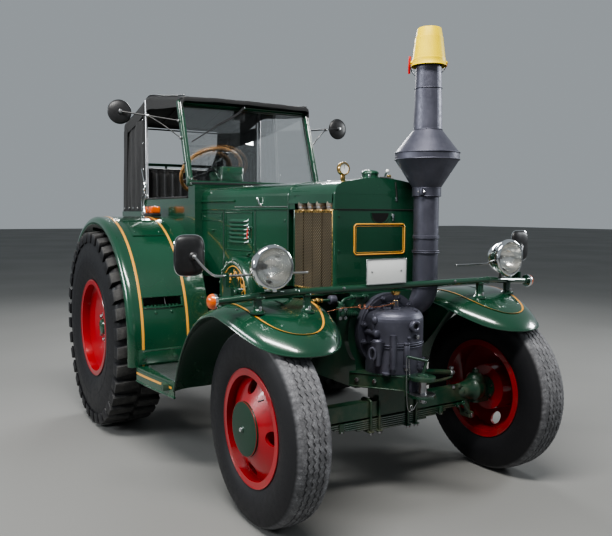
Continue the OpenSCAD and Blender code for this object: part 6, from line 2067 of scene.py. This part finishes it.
# turned parts on the jaw's axis, each with its foot, its finish and its number of sides
JAW_PARTS = (([(0.0135, 0.0065), (0.058, 0.0060), (0.0650, 0.0035), (0.0662, -0.002), (0.0640, -0.006)],
              0.6585, 0, 48), ([(0.0135, 0.004), (0.057, 0.0038), (0.0650, 0.001), (0.0662, -0.004),
                                (0.0620, -0.012)], 0.5735, 1, 48),
             ([(0.0, 0.010), (0.022, 0.009), (0.030, 0.003), (0.031, -0.002)], 0.6655, 0, 32),
             ([(0.0215, 0.0), (0.0225, 0.020), (0.0190, 0.034), (0.0215, 0.048), (0.0215, 0.066),
               (0.0150, 0.068)], 0.5775, 1, 32))
SHACKLE = ((-0.010, -0.010, 0.5445), (0.002, 0.012, 0.540), (0.010, 0.022, 0.531),
           (0.004, 0.014, 0.523), (-0.006, -0.008, 0.529), (-0.010, -0.010, 0.5445))
WIRE = ((0.002, -0.101, 0.772), (0.004, -0.108, 0.758), (0.003, -0.104, 0.700), (0.002, -0.101, 0.640),
        (0, -0.098, 0.560), (0.002, -0.094, 0.510), (0.002, -0.080, 0.492), (0, -0.064, 0.505),
        (-0.001, -0.058, 0.524), (0, -0.070, 0.528), (0.002, -0.078, 0.512), (0.001, -0.058, 0.498),
        (0, -0.046, 0.516), (0, -0.030, 0.536))


def chain_link(k):
    """One link of the hanging chain; every second link is turned by a quarter."""
    points = []
    for angle in range(0, 361, 40):
        x, y = (0.0034 * cosd(angle), 0) if k % 2 else (0, 0.0034 * cosd(angle))
        points.append((JAW_X + x, y - 0.090 + 0.001 * k, 0.764 - 0.011 * k + 0.0070 * sind(angle)))
    return points


jaw = Form(green_dusty_shaded, steel, brass, graphite)
for profile, foot, finish, count in JAW_PARTS:
    jaw.turned(profile, (JAW_X, 0, foot), "z", finish, count)
jaw.block((1.5800, -0.046, 0.5755), (1.5980, 0.046, 0.6450), 0.005, 3, 3)
jaw.tube([(JAW_X, 0, 0.552), (JAW_X, 0, 0.540), (JAW_X + 0.004, 0.004, 0.530)], 0.0110, 1, 12)
jaw.tube([(JAW_X + x, y, z) for x, y, z in SHACKLE], 0.0024, 1, 8)
for y, z in ((-0.046, 0.574), (0.046, 0.574), (-0.046, 0.642), (0.046, 0.642)):
    jaw.drum((1.5775, y, z), (1.5870, y, z), 0.0085, 0, 0.002, 6)
jaw.tube([(JAW_X + x, y, z) for x, y, z in WIRE], 0.0017, 1, 8)
for k in range(LINKS):
    jaw.tube(chain_link(k), 0.0011, 1, 6)
jaw.piece("front_jaw_fittings")

# %% Bracket lips and bolts
lip = Form(green_dusty_shaded, steel)
half_rim = [(1.333, 0.229), (1.400, 0.180), (1.500, 0.108), (1.548, 0.073), (1.5635, 0.058)]
rim = [(x, -y) for x, y in half_rim] + [(1.5645, 0.0)] + half_rim[::-1]
for z in (0.5805, 0.6500):
    lip.tube([(x, y, z) for x, y in rim], 0.0042, 0, 8)
for sign in (-1, 1):
    for t in (0.15, 0.50):
        x, y = 1.333 + (1.548 - 1.333) * t, 0.229 + (0.073 - 0.229) * t
        normal = Vector((0.59, 0.807 * sign, 0))
        at = Vector((x, y * sign, 0.616))
        lip.drum(at - normal * 0.004, at + normal * 0.0095, 0.0115, 1, 0.003, 6)
lip.tube([(1.332, 0.215, 0.600), (1.326, 0.300, 0.590), (1.324, 0.420, 0.575), (1.322, 0.470, 0.565)],
         0.0150, 0, 14)
lip.ball((1.322, 0.485, 0.562), 0.0200, 1, (1, 1.1, 0.9), 14)
lip.drum((1.322, 0.485, 0.535), (1.322, 0.485, 0.594), 0.0095, 1, 0.002, 12)
lip.drum((1.322, 0.485, 0.586), (1.322, 0.485, 0.598), 0.0150, 1, 0.002, 6)
lip.tube([(1.322, 0.485, 0.540), (1.316, 0.440, 0.528), (1.312, 0.330, 0.522), (1.316, 0.200, 0.520)],
         0.0120, 0, 12)
lip.piece("bracket_lips")

# %% Number plate
plate = Form(white_enamel, steel, green_dusty_shaded)
plate_points = [v.co for v in nodes["number_plate"].data.vertices]
LOW = Vector([min(c[i] for c in plate_points) for i in range(3)])
HIGH = Vector([max(c[i] for c in plate_points) for i in range(3)])
print("plate box", [round(c, 3) for c in LOW], [round(c, 3) for c in HIGH])
mid = (LOW + HIGH) / 2
plate.block((HIGH.x - 0.0055, LOW.y + 0.002, LOW.z + 0.002),
            (HIGH.x - 0.0030, HIGH.y - 0.002, HIGH.z - 0.002), 0.001, 0)
edge = [(end.y + inset, end.z + inset) for end, inset in ((LOW, 0.003), (HIGH, -0.003))]
framed(plate, *edge, 0.010, HIGH.x - 0.0028, 0.0027, 1, step=30, overlap=2)
for y in (mid.y - 0.105, mid.y + 0.080):
    plate.block((LOW.x, y, mid.z - 0.018), (HIGH.x - 0.0050, y + 0.025, mid.z + 0.018), 0.002, 2)
for y in (-0.092, 0.092):
    plate.drum((HIGH.x - 0.0034, mid.y + y, mid.z), (HIGH.x - 0.0012, mid.y + y, mid.z), 0.0055, 1,
               0.001, 16)
plate.piece("number_plate_blank", "root", ["number_plate"])

# %% Lamp bar and drawbar trim
bar = Form(green_enamel, steel)
for side, sign in sides():
    for y in (0.560, 0.805):
        bar.drum((1.450, y * sign, 1.076), (1.450, y * sign, 1.087), 0.0225, 0, 0.003, 24)
    bar.drum((1.464, 0.360 * sign, 1.103), (1.4705, 0.360 * sign, 1.104), 0.0075, 1, 0.002, 6)
bar.piece("lamp_bar_bolts")
PIN_X = -1.778
tow = Form(green_dusty_shaded, steel)
tow.drum((PIN_X, 0, 0.500), (PIN_X, 0, 0.628), 0.0145, 1, 0.003, 24)
tow.turned([(0.0, 0.010), (0.020, 0.009), (0.026, 0.002), (0.026, -0.006)], (PIN_X, 0, 0.630), "z", 1,
           28)
pull = ((0, 0.638), (0.012, 0.668), (0.0, 0.690), (-0.012, 0.668), (0, 0.638))
tow.tube([(PIN_X, y, z) for y, z in pull], 0.0042, 1, 10)
tow.piece("towing_pin")

# %% [markdown]
# ## The back of the tub
# The photo doesn't show the back, so it stays simple: rolled edges along the tub's corners, a flap
# with two strap hinges and a turn catch, and the two reflectors that the road asks for.

# %% Edges, flap and reflectors
REFLECTOR = [(0.0, 0.006), (0.026, 0.005), (0.030, 0.002), (0.030, -0.002)]
REFLECTOR_RING = [(0.030, 0.0), (0.034, 0.0), (0.034, 0.005), (0.030, 0.006)]
back = Form(green_enamel, steel, red_lens, chrome)
tub = [v.co for v in nodes["cab_tub"].data.vertices]
REAR = min(c.x for c in tub)
face = [c for c in tub if c.x < REAR + 0.002]
HALF, BOTTOM, TOP = max(abs(c.y) for c in face), min(c.z for c in face), max(c.z for c in face)
print("tub's back at", round(REAR, 3), "half width", round(HALF, 3), "from", round(BOTTOM, 3), "to",
      round(TOP, 3))
for sign in (-1, 1):
    back.tube([(REAR + 0.0035, sign * (HALF - 0.0035), z)
               for z in (BOTTOM + 0.003, (BOTTOM + TOP) / 2, TOP - 0.003)], 0.0045, 0, 10)
back.tube([(REAR + 0.0035, y, BOTTOM + 0.0045) for y in (-HALF + 0.004, 0, HALF - 0.004)], 0.0045, 0,
          10)
flap = [(-0.300, BOTTOM + 0.060), (0.300, BOTTOM + 0.060), (0.300, TOP - 0.110), (-0.300, TOP - 0.110)]
back.tube([(REAR - 0.0004, y, z) for y, z in flap + flap[:1]], 0.0040, 0, 8, smooth=False)
for y in (-0.200, 0.200):
    back.block((REAR - 0.0040, y - 0.020, BOTTOM + 0.040), (REAR + 0.001, y + 0.020, BOTTOM + 0.200),
               0.002, 0)
    back.drum((REAR - 0.0045, y - 0.026, BOTTOM + 0.050), (REAR - 0.0045, y + 0.026, BOTTOM + 0.050),
              0.0085, 1, 0.002, 16)
    back.bolts([(REAR - 0.004, y, BOTTOM + d) for d in (0.090, 0.135, 0.180)], (-1, 0, 0), 0.0065,
               0.004, 1)
    back.turned(REFLECTOR, (REAR, y * 2.1, BOTTOM + 0.110), (-1, 0, 0), 2, 32)
    back.turned(REFLECTOR_RING, (REAR, y * 2.1, BOTTOM + 0.110), (-1, 0, 0), 3, 32)
back.drum((REAR + 0.001, 0, TOP - 0.135), (REAR - 0.012, 0, TOP - 0.135), 0.010, 1, 0.002, 16)
back.block((REAR - 0.016, -0.008, TOP - 0.165), (REAR - 0.010, 0.008, TOP - 0.105), 0.002, 1)
back.piece("tub_back_trim")
